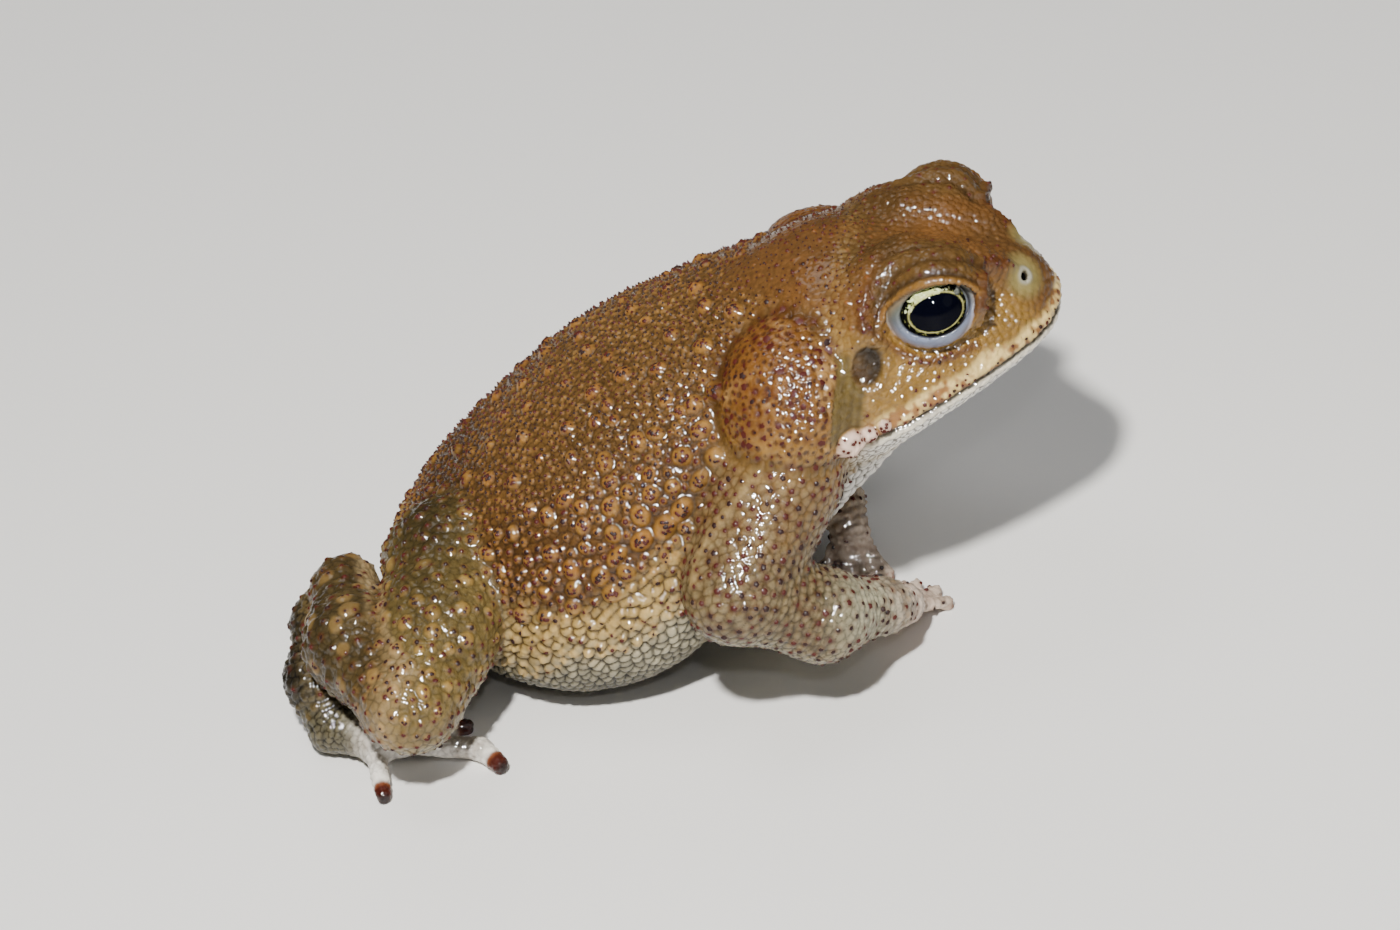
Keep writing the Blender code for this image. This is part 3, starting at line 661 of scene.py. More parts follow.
def opened(Q, d):
    """the lids' opening and the wet lower lid, cut into a skin field"""
    near = np.abs(Q - V(EYE_C)).max(1) < 16
    if not near.any():
        return d
    d = d.copy()
    q = Q[near]
    a, up, out = eye_coords(q)
    r = np.sqrt(((q - V(EYE_C)) ** 2).sum(1))
    m = membrane_radius(a, up, out)
    window = np.maximum(np.maximum(lid_slit(a, up), MEMBRANE_R - 0.3 - m), -out)
    x = smax(d[near], -window, 0.7)
    x = smin(x, m - MEMBRANE_R - 0.35 * step(-up, 1.0, 5.0), 0.6)
    hole = np.maximum(np.maximum(eye_slit(a, up), EYE_R - 0.8 - r), -out)
    d[near] = smax(x, -hole, 0.45)
    return d


NOSTRIL = (98.6, 4.6, 65.6)
NOSTRIL_AXIS = (0.62, 0.66, 0.43)


def whole(P):
    d = fields(P)[0]
    for s in (1, -1):
        Q = mirrored(P, s)
        d = opened(Q, d)
        r = cone(Q, V(NOSTRIL) + 1.2 * unit(NOSTRIL_AXIS), V(NOSTRIL) - 2.4 * unit(NOSTRIL_AXIS), 0.85, 0.6)
        d = smax(d, -r, 0.5)
    return d


# ---------------------------------------------------------------- fine mesh
def wanted(P):
    """longest edge wanted at a point"""
    L = np.where(P[:, 1] < 4, 0.47, 0.60)
    L = np.where((P[:, 0] > 58) & (P[:, 2] > 36), 0.38, L)
    L = np.where(P[:, 2] < 9, np.minimum(L, 0.46), L)
    for s in (1, -1):
        r = np.sqrt(((P - V(EYE_C) * V((1, s, 1))) ** 2).sum(1))
        L = np.where(r < 12, np.minimum(L, 0.30), L)
    return L


def part_fields(P):
    skin, g, planes = fields(P)
    return {k: v.astype(np.float32) for k, v in g.items() if k != 'lower_jaw'}


def fine_mesh():
    """points, triangles and each part's distance at the points"""
    P, T = surface(lambda X: fields(X)[0], (-42, -66, -3), (110, 66, 84), 1.25)
    lap('grid')
    P = onto(P, T, whole, 2, 0.3)
    P, T = refine(P, T, np.full(len(P), 1.0))
    P = onto(P, T, whole, 1, 0.3)
    P, T = refine(P, T, np.full(len(P), 0.75))
    P = onto(P, T, whole, 1, 0.2)
    g = in_blocks(part_fields, P)
    lap('parts')
    P, T = refine(P, T, wanted(P) * 1.25, g)
    P, T = refine(P, T, wanted(P), g)
    fine = (P[:, 0] > 74) & (P[:, 2] > 52) | (P[:, 2] < 5) & ((P[:, 0] > 50) | (P[:, 0] < 5))
    P = smooth(P, T, 1, 0.2)
    P = onto(P, T, whole, 1, 0.1, fine)
    P[:, 2] = np.maximum(P[:, 2], 0.0)
    return P, T, g


P0, TRI, G = fine_mesh()
NORM = normals(P0, TRI)
NORM = smooth(NORM, TRI, 2)
NORM /= np.linalg.norm(NORM, axis=1)[:, None]
lap('mesh')
print('skin', len(P0), 'points', len(TRI), 'triangles')

X, Y, Z = P0.T
SIDE = np.where(Y < 0, -1, 1)
YA = np.abs(Y)
HQ = to_head(np.stack([X, YA, Z], 1))
HU, HV, HW = HQ.T
low = np.min(np.stack(list(G.values())), 0)
share = {k: np.exp(-(v - low) / 1.1) for k, v in G.items()}
total = sum(share.values())


def part(*names):
    """how much each point belongs to these parts, 0 to 1"""
    keys = [k for k in share if k in names or k[:-2] in names]
    return sum(share[k] for k in keys) / total


w_trunk, w_head, w_gland = part('trunk'), part('head'), part('parotoid')
w_uarm, w_farm, w_hand = part('upper_arm'), part('forearm'), part('hand')
w_thigh, w_shank, w_tarsus, w_foot = part('thigh'), part('shank'), part('tarsus'), part('foot')
w_jaw = w_head * step(-(HW - MOUTH_W), 0.1, 0.6) * step(HU, -6, -1)
g_gland = np.minimum(G['parotoid_l'], G['parotoid_r'])

Q_ALL = np.stack([X, YA, Z], 1)
EA, EUP, EOUT = eye_coords(Q_ALL)
ER = np.sqrt(((Q_ALL - V(EYE_C)) ** 2).sum(1))
LID_D = np.where(EOUT > 0, lid_slit(EA, EUP), 20.0)
EYE_D = np.where(EOUT > 0, eye_slit(EA, EUP), 20.0)
near_eye = (ER < 12) & (EOUT > -1)
EM = membrane_radius(EA, EUP, EOUT)
membrane = near_eye * step(-LID_D, -0.15, 0.35) * step(MEMBRANE_R + 0.9 - EM, 0.0, 0.4)

# how pale: below a line that climbs from the groin to the armpit
pale_line = 24.0 + 0.012 * np.maximum(X - 5, 0) ** 2
pale_line = np.where(w_thigh + w_shank > 0.5, 9.0, pale_line)
wobble = 2.5 * noise(P0, 9, 3) + 1.2 * noise(P0, 3.5, 4)
pale = step(pale_line - Z + wobble, -4.5, 4.5) * (1 - np.clip(w_uarm + w_farm, 0, 1))
belly = step(pale_line - 10 - Z + wobble, -6, 6)
under = step(-NORM[:, 2], 0.15, 0.75)
throat = np.maximum(w_jaw, step(-(HW - MOUTH_W), 0, 4) * step(HU, -16, -8) * w_trunk * step(-NORM[:, 2] + 0.25, 0, 0.4))

lap('weights')
rng = np.random.default_rng(7)
AREA = 0.5 * np.linalg.norm(np.cross(P0[TRI[:, 1]] - P0[TRI[:, 0]], P0[TRI[:, 2]] - P0[TRI[:, 0]]), axis=1)


def scatter(density, n_most):
    """point numbers drawn evenly over the skin, thinned by a density from 0 to 1 at each point"""
    a = AREA * density[TRI].mean(1)
    n = int(min(n_most, a.sum() * 3.0))
    t = rng.choice(len(TRI), n, p=a / a.sum())
    return np.unique(TRI[t, rng.integers(0, 3, n)])


def closest(W, reach, P):
    """number of the point nearest to each W, or -1"""
    a, b, d = nearby(W, np.full(len(W), reach), P)
    o = np.lexsort((d, a))
    a, b = a[o], b[o]
    first = np.r_[True, a[1:] != a[:-1]]
    out = np.full(len(W), -1)
    out[a[first]] = b[first]
    return out


def tangents(N, lean):
    """a direction along the skin nearest to `lean`, and the one across it"""
    t = lean - N * (N * lean).sum(1)[:, None]
    t /= np.maximum(np.linalg.norm(t, axis=1), 1e-6)[:, None]
    return t, np.cross(N, t)


def domes(C, R, H, long=None, along=None, sharp=1.3):
    """height of the highest dome at each skin point, and the least distance as a share of its radius"""
    reach = R * (1 if long is None else np.maximum(long, 1)) * 1.35
    a, b, d = nearby(C, reach, P0)
    if long is not None:
        v = P0[b] - C[a]
        k = (v * along[a]).sum(1)
        d = np.sqrt(np.maximum(d * d - k * k, 0) * np.sqrt(long[a]) ** 2 + (k / np.sqrt(long[a])) ** 2)
    t = d / R[a]
    h = np.where(t < 1, H[a] * np.maximum(1 - t * t, 0) ** sharp, 0)
    out, rel = np.zeros(len(P0)), np.full(len(P0), 9.0)
    np.maximum.at(out, b, h)
    np.minimum.at(rel, b, t)
    return out, rel


# ---------------------------------------------------------------- warts
# the largest warts on the right side: x, z, radius, length over width, lean from level (degrees)
WARTS = [
    (47.0, 58.9, 1.9, 1.2, 80), (43.1, 57.0, 1.8, 1.1, 40), (40.9, 56.0, 1.2, 1.0, 0), (33.1, 51.9, 1.9, 1.3, 100),
    (27.1, 48.8, 1.9, 1.2, 90), (25.4, 52.7, 1.4, 1.0, 0), (27.8, 54.6, 1.4, 1.1, 90), (34.9, 47.8, 1.4, 1.2, 70),
    (35.0, 45.1, 1.6, 1.1, 60), (30.9, 45.3, 1.4, 1.0, 0), (27.7, 43.1, 1.8, 1.1, 80), (22.3, 42.5, 1.4, 1.0, 0),
    (22.4, 39.8, 1.6, 1.2, 60), (39.8, 42.2, 2.1, 1.4, 50), (36.9, 39.8, 2.3, 1.3, 50), (32.6, 38.0, 2.1, 1.4, 45),
    (28.1, 35.6, 1.9, 1.7, 45), (24.7, 32.2, 1.9, 1.2, 60), (19.5, 29.7, 1.6, 1.2, 45), (43.5, 46.6, 1.9, 1.6, 55),
    (47.3, 46.4, 1.4, 1.8, 50), (46.4, 50.0, 1.9, 1.1, 45), (16.1, 40.1, 1.8, 1.0, 0), (9.3, 36.1, 1.6, 1.0, 0),
    (4.1, 31.9, 1.6, 1.5, -40), (14.7, 31.6, 1.4, 1.0, 0), (14.3, 28.3, 1.4, 1.0, 0), (12.0, 33.1, 1.2, 1.0, 0),
    (-7.1, 31.1, 1.6, 1.1, 0), (-4.0, 28.2, 1.6, 1.0, 0), (-1.5, 25.5, 1.2, 1.0, 0), (-4.3, 24.6, 1.1, 1.0, 0),
    (-19.7, 28.4, 1.8, 1.3, 60), (-21.8, 27.4, 1.4, 1.2, 90),
]


def at_right(rows):
    """the skin point on the right side at each x, z"""
    near = np.flatnonzero((Y < -8) & (w_head + w_gland < 0.5))
    out = []
    for x, z in rows:
        d = (X[near] - x) ** 2 + (Z[near] - z) ** 2 - 0.02 * np.maximum(-Y[near], 0)
        out.append(near[np.argmin(d)])
    return np.array(out)


w_warty = w_trunk * (1 - 0.8 * pale) + 0.9 * w_thigh * step(NORM[:, 2], -0.5, 0.1) + 0.8 * w_shank * step(Z, 8, 14)
named = at_right([w[:2] for w in WARTS])
row = np.array(WARTS)

# scattered large warts, fewer on the back than on the flank
on_back = w_trunk * step(NORM[:, 2], 0.45, 0.8)
gap_big = np.where(on_back > 0.5, 6.2, 4.6) * (1 + 0.25 * noise(P0, 7, 11))
gap_big = np.where(w_thigh > 0.5, 4.2, np.where(w_shank > 0.5, 5.6, gap_big))
cand = scatter(w_warty * (1 - part('parotoid', 'head')), 30000)
cand = cand[w_warty[cand] > 0.5]
a, b, d = nearby(P0[named], np.full(len(named), 4.0), P0[cand])
taken = np.zeros(len(cand), bool)
taken[b[d < 3.3]] = True
cand = cand[~taken]
more = cand[spread(P0[cand], gap_big[cand], rng)]
big = np.concatenate([named, more])
big_r = np.concatenate([row[:, 2], rng.uniform(1.15, 1.95, len(more)) * np.where(w_trunk[more] > 0.5, 1.0, 0.85)])
big_r *= 1 - 0.5 * w_thigh[big] * step(26 - Z[big], 0, 10)
big_long = np.concatenate([row[:, 3], 1 + rng.random(len(more)) ** 2 * 0.5])
lean = np.radians(np.concatenate([row[:, 4], rng.uniform(0, 180, len(more))]))
direction = np.stack([np.cos(lean), np.zeros(len(lean)), np.sin(lean)], 1)
flat_dir = np.stack([np.cos(lean), np.sin(lean), np.zeros(len(lean))], 1)
direction = np.where((NORM[big, 2] > 0.6)[:, None], flat_dir, direction)
big_along, _ = tangents(NORM[big], direction)
big_h = big_r * rng.uniform(0.50, 0.66, len(big))
big_r[w_shank[big] > 0.5] *= 1.2
big_h[w_shank[big] > 0.5] *= 0.45
big_h[w_thigh[big] > 0.5] *= 0.75
hill_big, rel_big = domes(P0[big], big_r, big_h, big_long, big_along, 1.15)

# small tubercles between them
free = step(rel_big, 0.95, 1.25)
limb = w_uarm + w_farm
w_small = np.clip(w_trunk * (1 - 0.85 * belly) + 0.8 * w_thigh + 0.35 * w_shank + w_uarm + w_farm + 0.5 * w_tarsus + 0.5 * w_hand, 0, 1)
w_small *= step(Z, 1.0, 3.0) * (1 - w_jaw)
gap_small = np.where(on_back > 0.5, 1.35, 1.6) + 0.3 * pale
gap_small = np.where(w_thigh > 0.5, 2.1, np.where(w_shank > 0.5, 2.5, gap_small))
gap_small = np.where(w_uarm > 0.5, 1.75, np.where(w_farm > 0.5, 1.9, gap_small))
gap_small = np.where(w_tarsus > 0.5, 1.9, np.where(w_hand > 0.5, 1.4, gap_small))
cand = scatter(w_small * free, 90000)
cand = cand[(w_small[cand] > 0.35) & (free[cand] > 0.5) & (w_head[cand] < 0.4) & (w_gland[cand] < 0.3)]
small = cand[spread(P0[cand], gap_small[cand] * (1 + 0.15 * noise(P0[cand], 5, 12)), rng)]
small_r = gap_small[small] * rng.uniform(0.42, 0.60, len(small))
small_h = small_r * np.where(limb[small] > 0.5, 0.20, 0.66) * rng.uniform(0.7, 1.1, len(small))
small_h *= 1 - 0.5 * (w_shank[small] + w_tarsus[small] + w_hand[small]) - 0.45 * w_thigh[small]
hill_small, rel_small = domes(P0[small], small_r, small_h, sharp=1.2)
print('warts', len(big), 'tubercles', len(small))
lap('warts')

# ---------------------------------------------------------------- scaled ground: granules with creases between
gap_cell = 1.2 + 0.35 * pale - 0.25 * belly
gap_cell = np.where(w_thigh + w_uarm > 0.5, 1.25, gap_cell)
gap_cell = np.where(throat > 0.4, 1.45, gap_cell)
gap_cell = np.where(w_head > 0.5, 0.95, gap_cell)
gap_cell = np.where(w_gland > 0.5, 1.3, gap_cell)
gap_cell = np.where(w_farm + w_shank + w_tarsus > 0.5, 1.05, gap_cell)
gap_cell = np.where(w_hand + w_foot > 0.5, 0.85, gap_cell)
cand = scatter(np.ones(len(P0)), 160000)
drawn = unit((0.75, 0.0, 0.66))                   # the skin is drawn out this way
S0 = P0 - 0.28 * (P0 @ drawn)[:, None] * drawn
seed = cand[spread(S0[cand], gap_cell[cand] * 0.88, rng)]
a, b, d = nearby(S0[seed], gap_cell[seed] * 1.6, S0)
order = np.lexsort((d, b))
b, d = b[order], d[order]
first = np.flatnonzero(np.r_[True, b[1:] != b[:-1]])
f1, f2 = np.full(len(P0), 2.0), np.full(len(P0), 3.0)
f1[b[first]] = d[first]
owner = np.zeros(len(P0), int)
owner[b[first]] = a[order][first]
cell_tone = rng.random(len(seed))[owner]            # each granule a little lighter or darker
nxt = first + 1
ok = (nxt < len(b)) & (b[np.minimum(nxt, len(b) - 1)] == b[first])
f2[b[first[ok]]] = d[nxt[ok]]
edge = (f2 - f1) / gap_cell                       # 0 in a crease
crease = np.exp(-(edge / 0.19) ** 2)
print('granules', len(seed))
lap('granules')

# ---------------------------------------------------------------- folds
def down_limb(s, names):
    """distance along a limb's middle line from its first point, near that limb on side s"""
    Q = np.stack([X, Y * s, Z], 1)
    pts = []
    for n in names:
        for p in RUNS[s][n][0][0]:
            if not pts or np.abs(V(p) - V(pts[-1])).max() > 0.5:
                pts.append(V(p))
    best, at, run = np.full(len(Q), 1e9), np.zeros(len(Q)), 0.0
    for p, q in zip(pts[:-1], pts[1:]):
        ab = q - p
        L = np.linalg.norm(ab)
        t = np.clip((Q - p) @ ab / (L * L), 0, 1)
        d = np.sqrt(((Q - p - t[:, None] * ab) ** 2).sum(1))
        m = d < best
        best[m], at[m] = d[m], run + t[m] * L
        run += L
    return at, run


def furrow(x, gap):
    """1 between narrow furrows and -1 in them"""
    return 1 - 2 * np.exp(-(np.sin(np.pi * x / gap) / 0.7) ** 2)


rings = np.zeros(len(P0))
for s in (1, -1):
    on = np.where(SIDE == s, 1.0, 0.0)
    at, run = down_limb(s, ('forearm', 'hand'))
    at = smooth(at, TRI, 6)
    wave = furrow(at + 0.45 * noise(P0, 3, 21), 1.6)
    rings += on * (w_farm + 0.6 * w_hand) * wave * (0.13 + 0.08 * step(at, 5, run * 0.8))
    at, run = down_limb(s, ('tarsus', 'foot'))
    at = smooth(at, TRI, 6)
    wave = furrow(at + 0.5 * noise(P0, 3, 22), 1.7)
    rings += on * (w_tarsus + 0.8 * w_foot) * wave * 0.15
    at, run = down_limb(s, ('shank',))
    at = smooth(at, TRI, 6)
    wave = np.sin(2 * np.pi * (at + 0.9 * noise(P0, 5, 23)) / 2.6)
    rings += on * w_shank * wave * 0.12

# each finger and toe: how far from its tip, and rings along it
tip_d = np.full(len(P0), 99.0)
for s in (1, -1):
    Q = np.stack([X, Y * s, Z], 1)
    for name, w in (('hand', w_hand), ('foot', w_foot)):
        near = np.flatnonzero((SIDE == s) & (w > 0.3))
        for pts, radii in RUNS[s][name][2::2]:
            p, q = V(pts[-2]), V(pts[-1])
            d = np.sqrt(((Q[near] - q - 1.0 * unit(q - p)) ** 2).sum(1))
            tip_d[near] = np.minimum(tip_d[near], d)
digit = (w_hand + w_foot) * step(11 - tip_d, 0, 3)
rings += digit * np.sin(2 * np.pi * (tip_d + 0.15 * noise(P0, 2, 24)) / 1.3) * 0.07 * step(tip_d, 2.2, 3.5)

# slack skin that fans out from the armpit over the flank
arm = np.stack([X - 52.0, YA - 26.0, Z - 34.0], 1)
reach = np.sqrt((arm ** 2).sum(1))
turn = np.arctan2(arm[:, 2] + 0.25 * arm[:, 1], -arm[:, 0])
slack = w_trunk * step(34 - reach, 0, 20) * step(reach, 6, 12) * step(turn, -1.3, -0.9) * step(0.9 - turn, 0, 0.5)
folds = slack * 0.30 * np.sin(26 * turn + 2.2 * noise(P0, 7, 31))
lumps = 0.35 * noise(P0, 11, 41) * (w_trunk + w_thigh) + 0.16 * noise(P0, 5, 42)

lap('folds')
# ---------------------------------------------------------------- head
lips = step(HU, -6, 0) * w_head
mouth_w = HW - MOUTH_W - 0.5 * np.sin((HU + 4) / 40 * np.pi) * step(HU, 0, 30) * 0.0
line = bump(mouth_w, 0.33) * lips
upper_roll = bump(mouth_w - 1.25, 0.95) * lips
lower_roll = bump(mouth_w + 0.95, 0.6) * lips
head_d = -0.75 * line + 0.40 * upper_roll + 0.30 * lower_roll

# ridge in front of the eye, from the crest down to the cheek
def ridge(points, radius):
    d = np.full(len(P0), 99.0)
    for p, q in zip(points[:-1], points[1:]):
        d = np.minimum(d, cone(Q_ALL, p, q, 0, 0))
    return bump(d, radius)


CREST_LINE = [(98.6, 5.4, 68.6), (95.9, 6.8, 70.5), (92.3, 9.9, 72.9), (88.3, 12.4, 76.0), (84.2, 12.3, 76.4), (80.7, 12.1, 75.6),
              (78.2, 12.5, 74.9), (76.4, 13.5, 74.2), (75.0, 14.8, 73.2), (73.8, 16.6, 71.9), (73.1, 18.2, 70.2), (73.2, 19.6, 68.2)]
BROW_FRONT = [(92.3, 9.9, 72.9), (93.2, 15.0, 71.9), (92.8, 17.3, 69.3), (91.4, 15.6, 64.6)]
UNDER_EYE = [(73.2, 19.6, 68.2), (75.7, 19.9, 65.6), (78.6, 19.2, 62.4), (82.5, 19.4, 60.1), (86.6, 18.1, 59.7), (90.8, 15.8, 60.4)]
crest_line = ridge(CREST_LINE, 0.95)
pre = ridge(BROW_FRONT, 0.75)
post = ridge(UNDER_EYE, 0.9)
head_d += w_head * (0.55 * crest_line + 0.85 * pre + 0.22 * post - 0.30 * bump(ridge(CREST_LINE, 2.4) - 0.45, 0.2) * step(11.8 - ER, 0, 1))

# lids: a rolled rim, a crease above it, folds over the lid's dome
near_lid = (np.abs(EA) < 9.0) * w_head
top_lid = near_eye * step(EUP + 0.6, 0.0, 1.6)
rim = top_lid * bump(LID_D - 0.42, 0.40)
lid_fold = top_lid * bump(LID_D - 1.35, 0.36)
on_lid = step(11.5 - ER, 0, 2.0) * step(EUP, 1.5, 4.0) * (LID_D > -0.2)
head_d += 0.34 * rim - 0.32 * lid_fold * step(EUP, -0.2, 2.5)
head_d += on_lid * 0.015 * np.sin(2 * np.pi * (LID_D + 0.5 * noise(P0, 2.5, 51)) / 0.95) * step(LID_D, 2.0, 2.6)
head_d += 0.55 * step(11.5 - ER, 0, 2.5) * step(EUP, 3.0, 6.0) * near_lid
low_lid = near_eye * step(-EUP - 0.5, 0.0, 1.5)
head_d -= 0.30 * low_lid * bump(LID_D - 0.6, 0.5)

# eardrum
DRUM, DRUM_R = (73.2, 22.0, 61.8), (2.6, 3.5)
dr = Q_ALL - V(DRUM)
drum = np.sqrt((dr[:, 0] / DRUM_R[0]) ** 2 + (dr[:, 2] / DRUM_R[1]) ** 2)
drum = np.where((np.abs(dr[:, 1]) < 6) & (w_head + w_gland > 0.3), drum, 9)
head_d += -0.45 * step(1.05 - drum, 0, 0.3) + 0.28 * bump(drum - 1.25, 0.22)

# smooth strip with upright folds between the eardrum and the gland
strip_at = V((69.7, 24.5, 57.0))
st = Q_ALL - strip_at
strip_axis = unit((-0.18, 0.35, -0.92))
st_l = st @ strip_axis
st_x = st[:, 0] - strip_axis[0] * st_l
strip = step(3.0 - np.abs(st_x), 0, 1.3) * step(9.0 - np.abs(st_l), 0, 3.0) * (np.abs(st[:, 1]) < 9) * (1 - step(1.2 - drum, 0, 0.2))
strip *= step(g_gland, -3.0, -1.5)
head_d += strip * (-0.25 + 0.04 * np.sin(2 * np.pi * (st_x + 0.4 * noise(P0, 4, 61)) / 1.35))

# lobes at the angle of the jaw
lobe_c = np.array([(69.0, 26.0, 49.0), (72.2, 25.2, 50.2), (75.0, 24.6, 51.4)])
lobe_r = np.array([2.7, 1.5, 1.1])
lobe = np.zeros(len(P0))
lobe_rel = np.full(len(P0), 9.0)
for c, r in zip(lobe_c, lobe_r):
    t = np.sqrt(((Q_ALL - c) ** 2).sum(1)) / r
    lobe = np.maximum(lobe, 0.72 * r * np.maximum(1 - t * t, 0) ** 0.75)
    lobe_rel = np.minimum(lobe_rel, t)
head_d += lobe - 0.3 * bump(lobe_rel - 1.15, 0.18)

# nostril
no = Q_ALL - V(NOSTRIL)
no_r = np.sqrt((no ** 2).sum(1))
head_d += 0.36 * bump(no_r - 1.65, 0.45) * w_head - 0.30 * bump(no_r, 0.9) * w_head
smooth_nose = step(5.2 - no_r, 0, 2.8)

# the gland's edge, and pores over it
gland_edge = bump(g_gland - 0.6, 0.75) * step(w_head + w_trunk + w_uarm + w_gland, 0, 1)
cand = scatter(w_gland, 12000)
cand = cand[w_gland[cand] > 0.6]
pore = cand[spread(P0[cand], np.full(len(cand), 1.2) * (1 + 0.35 * noise(P0[cand], 4, 71)), rng)]
pore_r = rng.uniform(0.30, 0.62, len(pore))
pit, pit_rel = domes(P0[pore], pore_r, 0.26 * np.ones(len(pore)), sharp=1.0)

# beads on the crests and fine grains over the skull
calm = np.clip(membrane + 0.8 * smooth_nose + 0.8 * strip, 0, 1)
crest_d = np.full(len(P0), 99.0)
near_head = np.flatnonzero((X > 60) & (Z > 50))
q = Q_ALL[near_head]
for p, r, p2, r2 in zip(CREST[:-1], CREST_R[:-1], CREST[1:], CREST_R[1:]):
    crest_d[near_head] = np.minimum(crest_d[near_head], cone(q, p, p2, r, r2))
on_crest = np.clip(0.45 * step(1.2 - crest_d, 0, 1.0) * (1 - on_lid) + crest_line, 0, 1) * w_head
w_bead = np.clip(pre + post + on_crest, 0, 1) * w_head * (1 - calm)
w_grain = w_head * (drum > 1.2) * (1 - calm) * (1 - on_lid) * (1 - w_jaw) * step(HW - MOUTH_W, 0.6, 1.6) * (LID_D > 0.9)
temple = w_head * step(78 - X, 0, 3) * step(Z, 60, 64)
cheek = w_head * step(66 - Z, -1, 1) * (YA > 8)
gap_bead = np.where(w_bead > 0.4, 1.0, np.where(temple > 0.5, 1.9, np.where(cheek > 0.5, 1.9, 2.3)))
cand = scatter(w_grain, 40000)
cand = cand[w_grain[cand] > 0.4]
bead = cand[spread(P0[cand], gap_bead[cand] * (1 + 0.2 * noise(P0[cand], 3, 72)), rng)]
bead_r = rng.uniform(0.28, 0.46, len(bead)) + 0.10 * ((w_bead[bead] > 0.4) | (temple[bead] > 0.5))
bead_h = bead_r * np.where(w_bead[bead] > 0.4, 0.62, 0.55) * rng.uniform(0.5, 1.15, len(bead))
hill_bead, rel_bead = domes(P0[bead], bead_r, bead_h, sharp=1.2)
print('beads', len(bead), 'pores', len(pore))
lap('head')

# a smooth fold from the gland's lower corner down behind the arm
ARM_FOLD = [(53.4, 32.6, 49.4), (48.8, 35.1, 44.7), (45.2, 36.6, 40.9), (42.3, 38.4, 37.3), (41.5, 42.2, 34.7)]
arm_fold = ridge(ARM_FOLD, 0.95) * (1 - w_gland)

# ---------------------------------------------------------------- raising the skin
quiet = 1 - np.clip(calm + 0.8 * arm_fold, 0, 1)
rough_limb = w_farm + w_shank + w_tarsus + w_hand + w_foot
cell_h = 0.07 + 0.21 * pale
cell_h = np.where(w_thigh > 0.5, 0.09 + 0.08 * pale, cell_h)
cell_h = np.where(w_head > 0.5, 0.035 * (1 - 0.6 * on_lid), np.where(w_gland > 0.5, 0.12, cell_h))
cell_h = np.where(rough_limb + w_uarm > 0.5, np.where(w_farm > 0.5, 0.07, 0.11), cell_h)
cell_h = smooth(cell_h, TRI, 8)
floor_calm = step(Z, 0.0, 2.0)
bare_side = w_shank * step(NORM[:, 0], 0.25, 0.70) * step(Z, 9, 15)              # the shank's smooth inner edge
puff = np.maximum(1 - (f1 / gap_cell / 0.75) ** 2, 0)
rise = lumps * (1 - w_head) + head_d + folds + 0.42 * arm_fold
rise += quiet * floor_calm * (np.maximum(hill_big, hill_small * free) + hill_bead + rings)
rise += quiet * floor_calm * cell_h * (puff - crease) * (1 - 0.8 * step(1 - rel_big, 0, 0.3))
rise += quiet * 0.20 * puff * pale * (1 - rough_limb) * (0.6 + 0.8 * cell_tone)
off_lobe = step(lobe_rel, 1.0, 1.3)
rise -= (0.45 * gland_edge * quiet + pit * 0.6 * w_gland) * off_lobe
rise -= 0.16 * bump(rel_big - 1.14, 0.18) * (w_trunk + w_thigh)
rise += quiet * (0.04 * noise(P0, 0.9, 81) + 0.06 * noise(P0, 2.0, 82) * (w_gland + w_head) * (1 - 0.7 * on_lid))
rise -= 0.70 * w_hand * step(11 - tip_d, 0, 4) + 0.35 * w_foot * step(4 - tip_d, 0, 3)              # slender fingers, toes that narrow to the tip
rise *= step(Z, -0.1, 0.8)
SKIN_P = P0 + NORM * rise[:, None]
SKIN_P[:, 2] = np.maximum(SKIN_P[:, 2], 0.0)
SKIN_N = normals(SKIN_P, TRI)

lap('raised')
# ---------------------------------------------------------------- horny tips
tips_at, tips_n, tips_r, tips_h, tips_kind, tips_root = [], [], [], [], [], []


def add_tips(points, radius, height, kind):
    """tips on skin points; kind 0 is near black, 1 is red-brown"""
    n = len(points)
    tips_at.append(SKIN_P[points])
    tips_root.append(points)
    tips_n.append(SKIN_N[points])
    tips_r.append(np.broadcast_to(radius, (n,)))
    tips_h.append(np.broadcast_to(height, (n,)))
    tips_kind.append(np.broadcast_to(kind, (n,)))


def chance(n, share):
    return (rng.random(n) < share).astype(int)


# several on each large wart
where = []
for i, c in enumerate(big):
    n = int(rng.integers(5, 11) * (big_r[i] / 1.6) ** 1.5) + 1
    if w_shank[c] + w_thigh[c] > 0.5:
        n = int(rng.integers(1, 5))
    t = tangents(NORM[c][None], rng.normal(size=(1, 3)))
    ang = rng.uniform(0, 2 * np.pi, n)
    rad = big_r[i] * 0.72 * np.sqrt(rng.random(n))
    where.append(SKIN_P[c] + np.cos(ang)[:, None] * rad[:, None] * t[0] + np.sin(ang)[:, None] * rad[:, None] * t[1])
at = closest(np.concatenate(where), 1.2, SKIN_P)
at = np.unique(at[at >= 0])
add_tips(at, rng.uniform(0.24, 0.40, len(at)), rng.uniform(0.10, 0.20, len(at)), chance(len(at), 0.6))
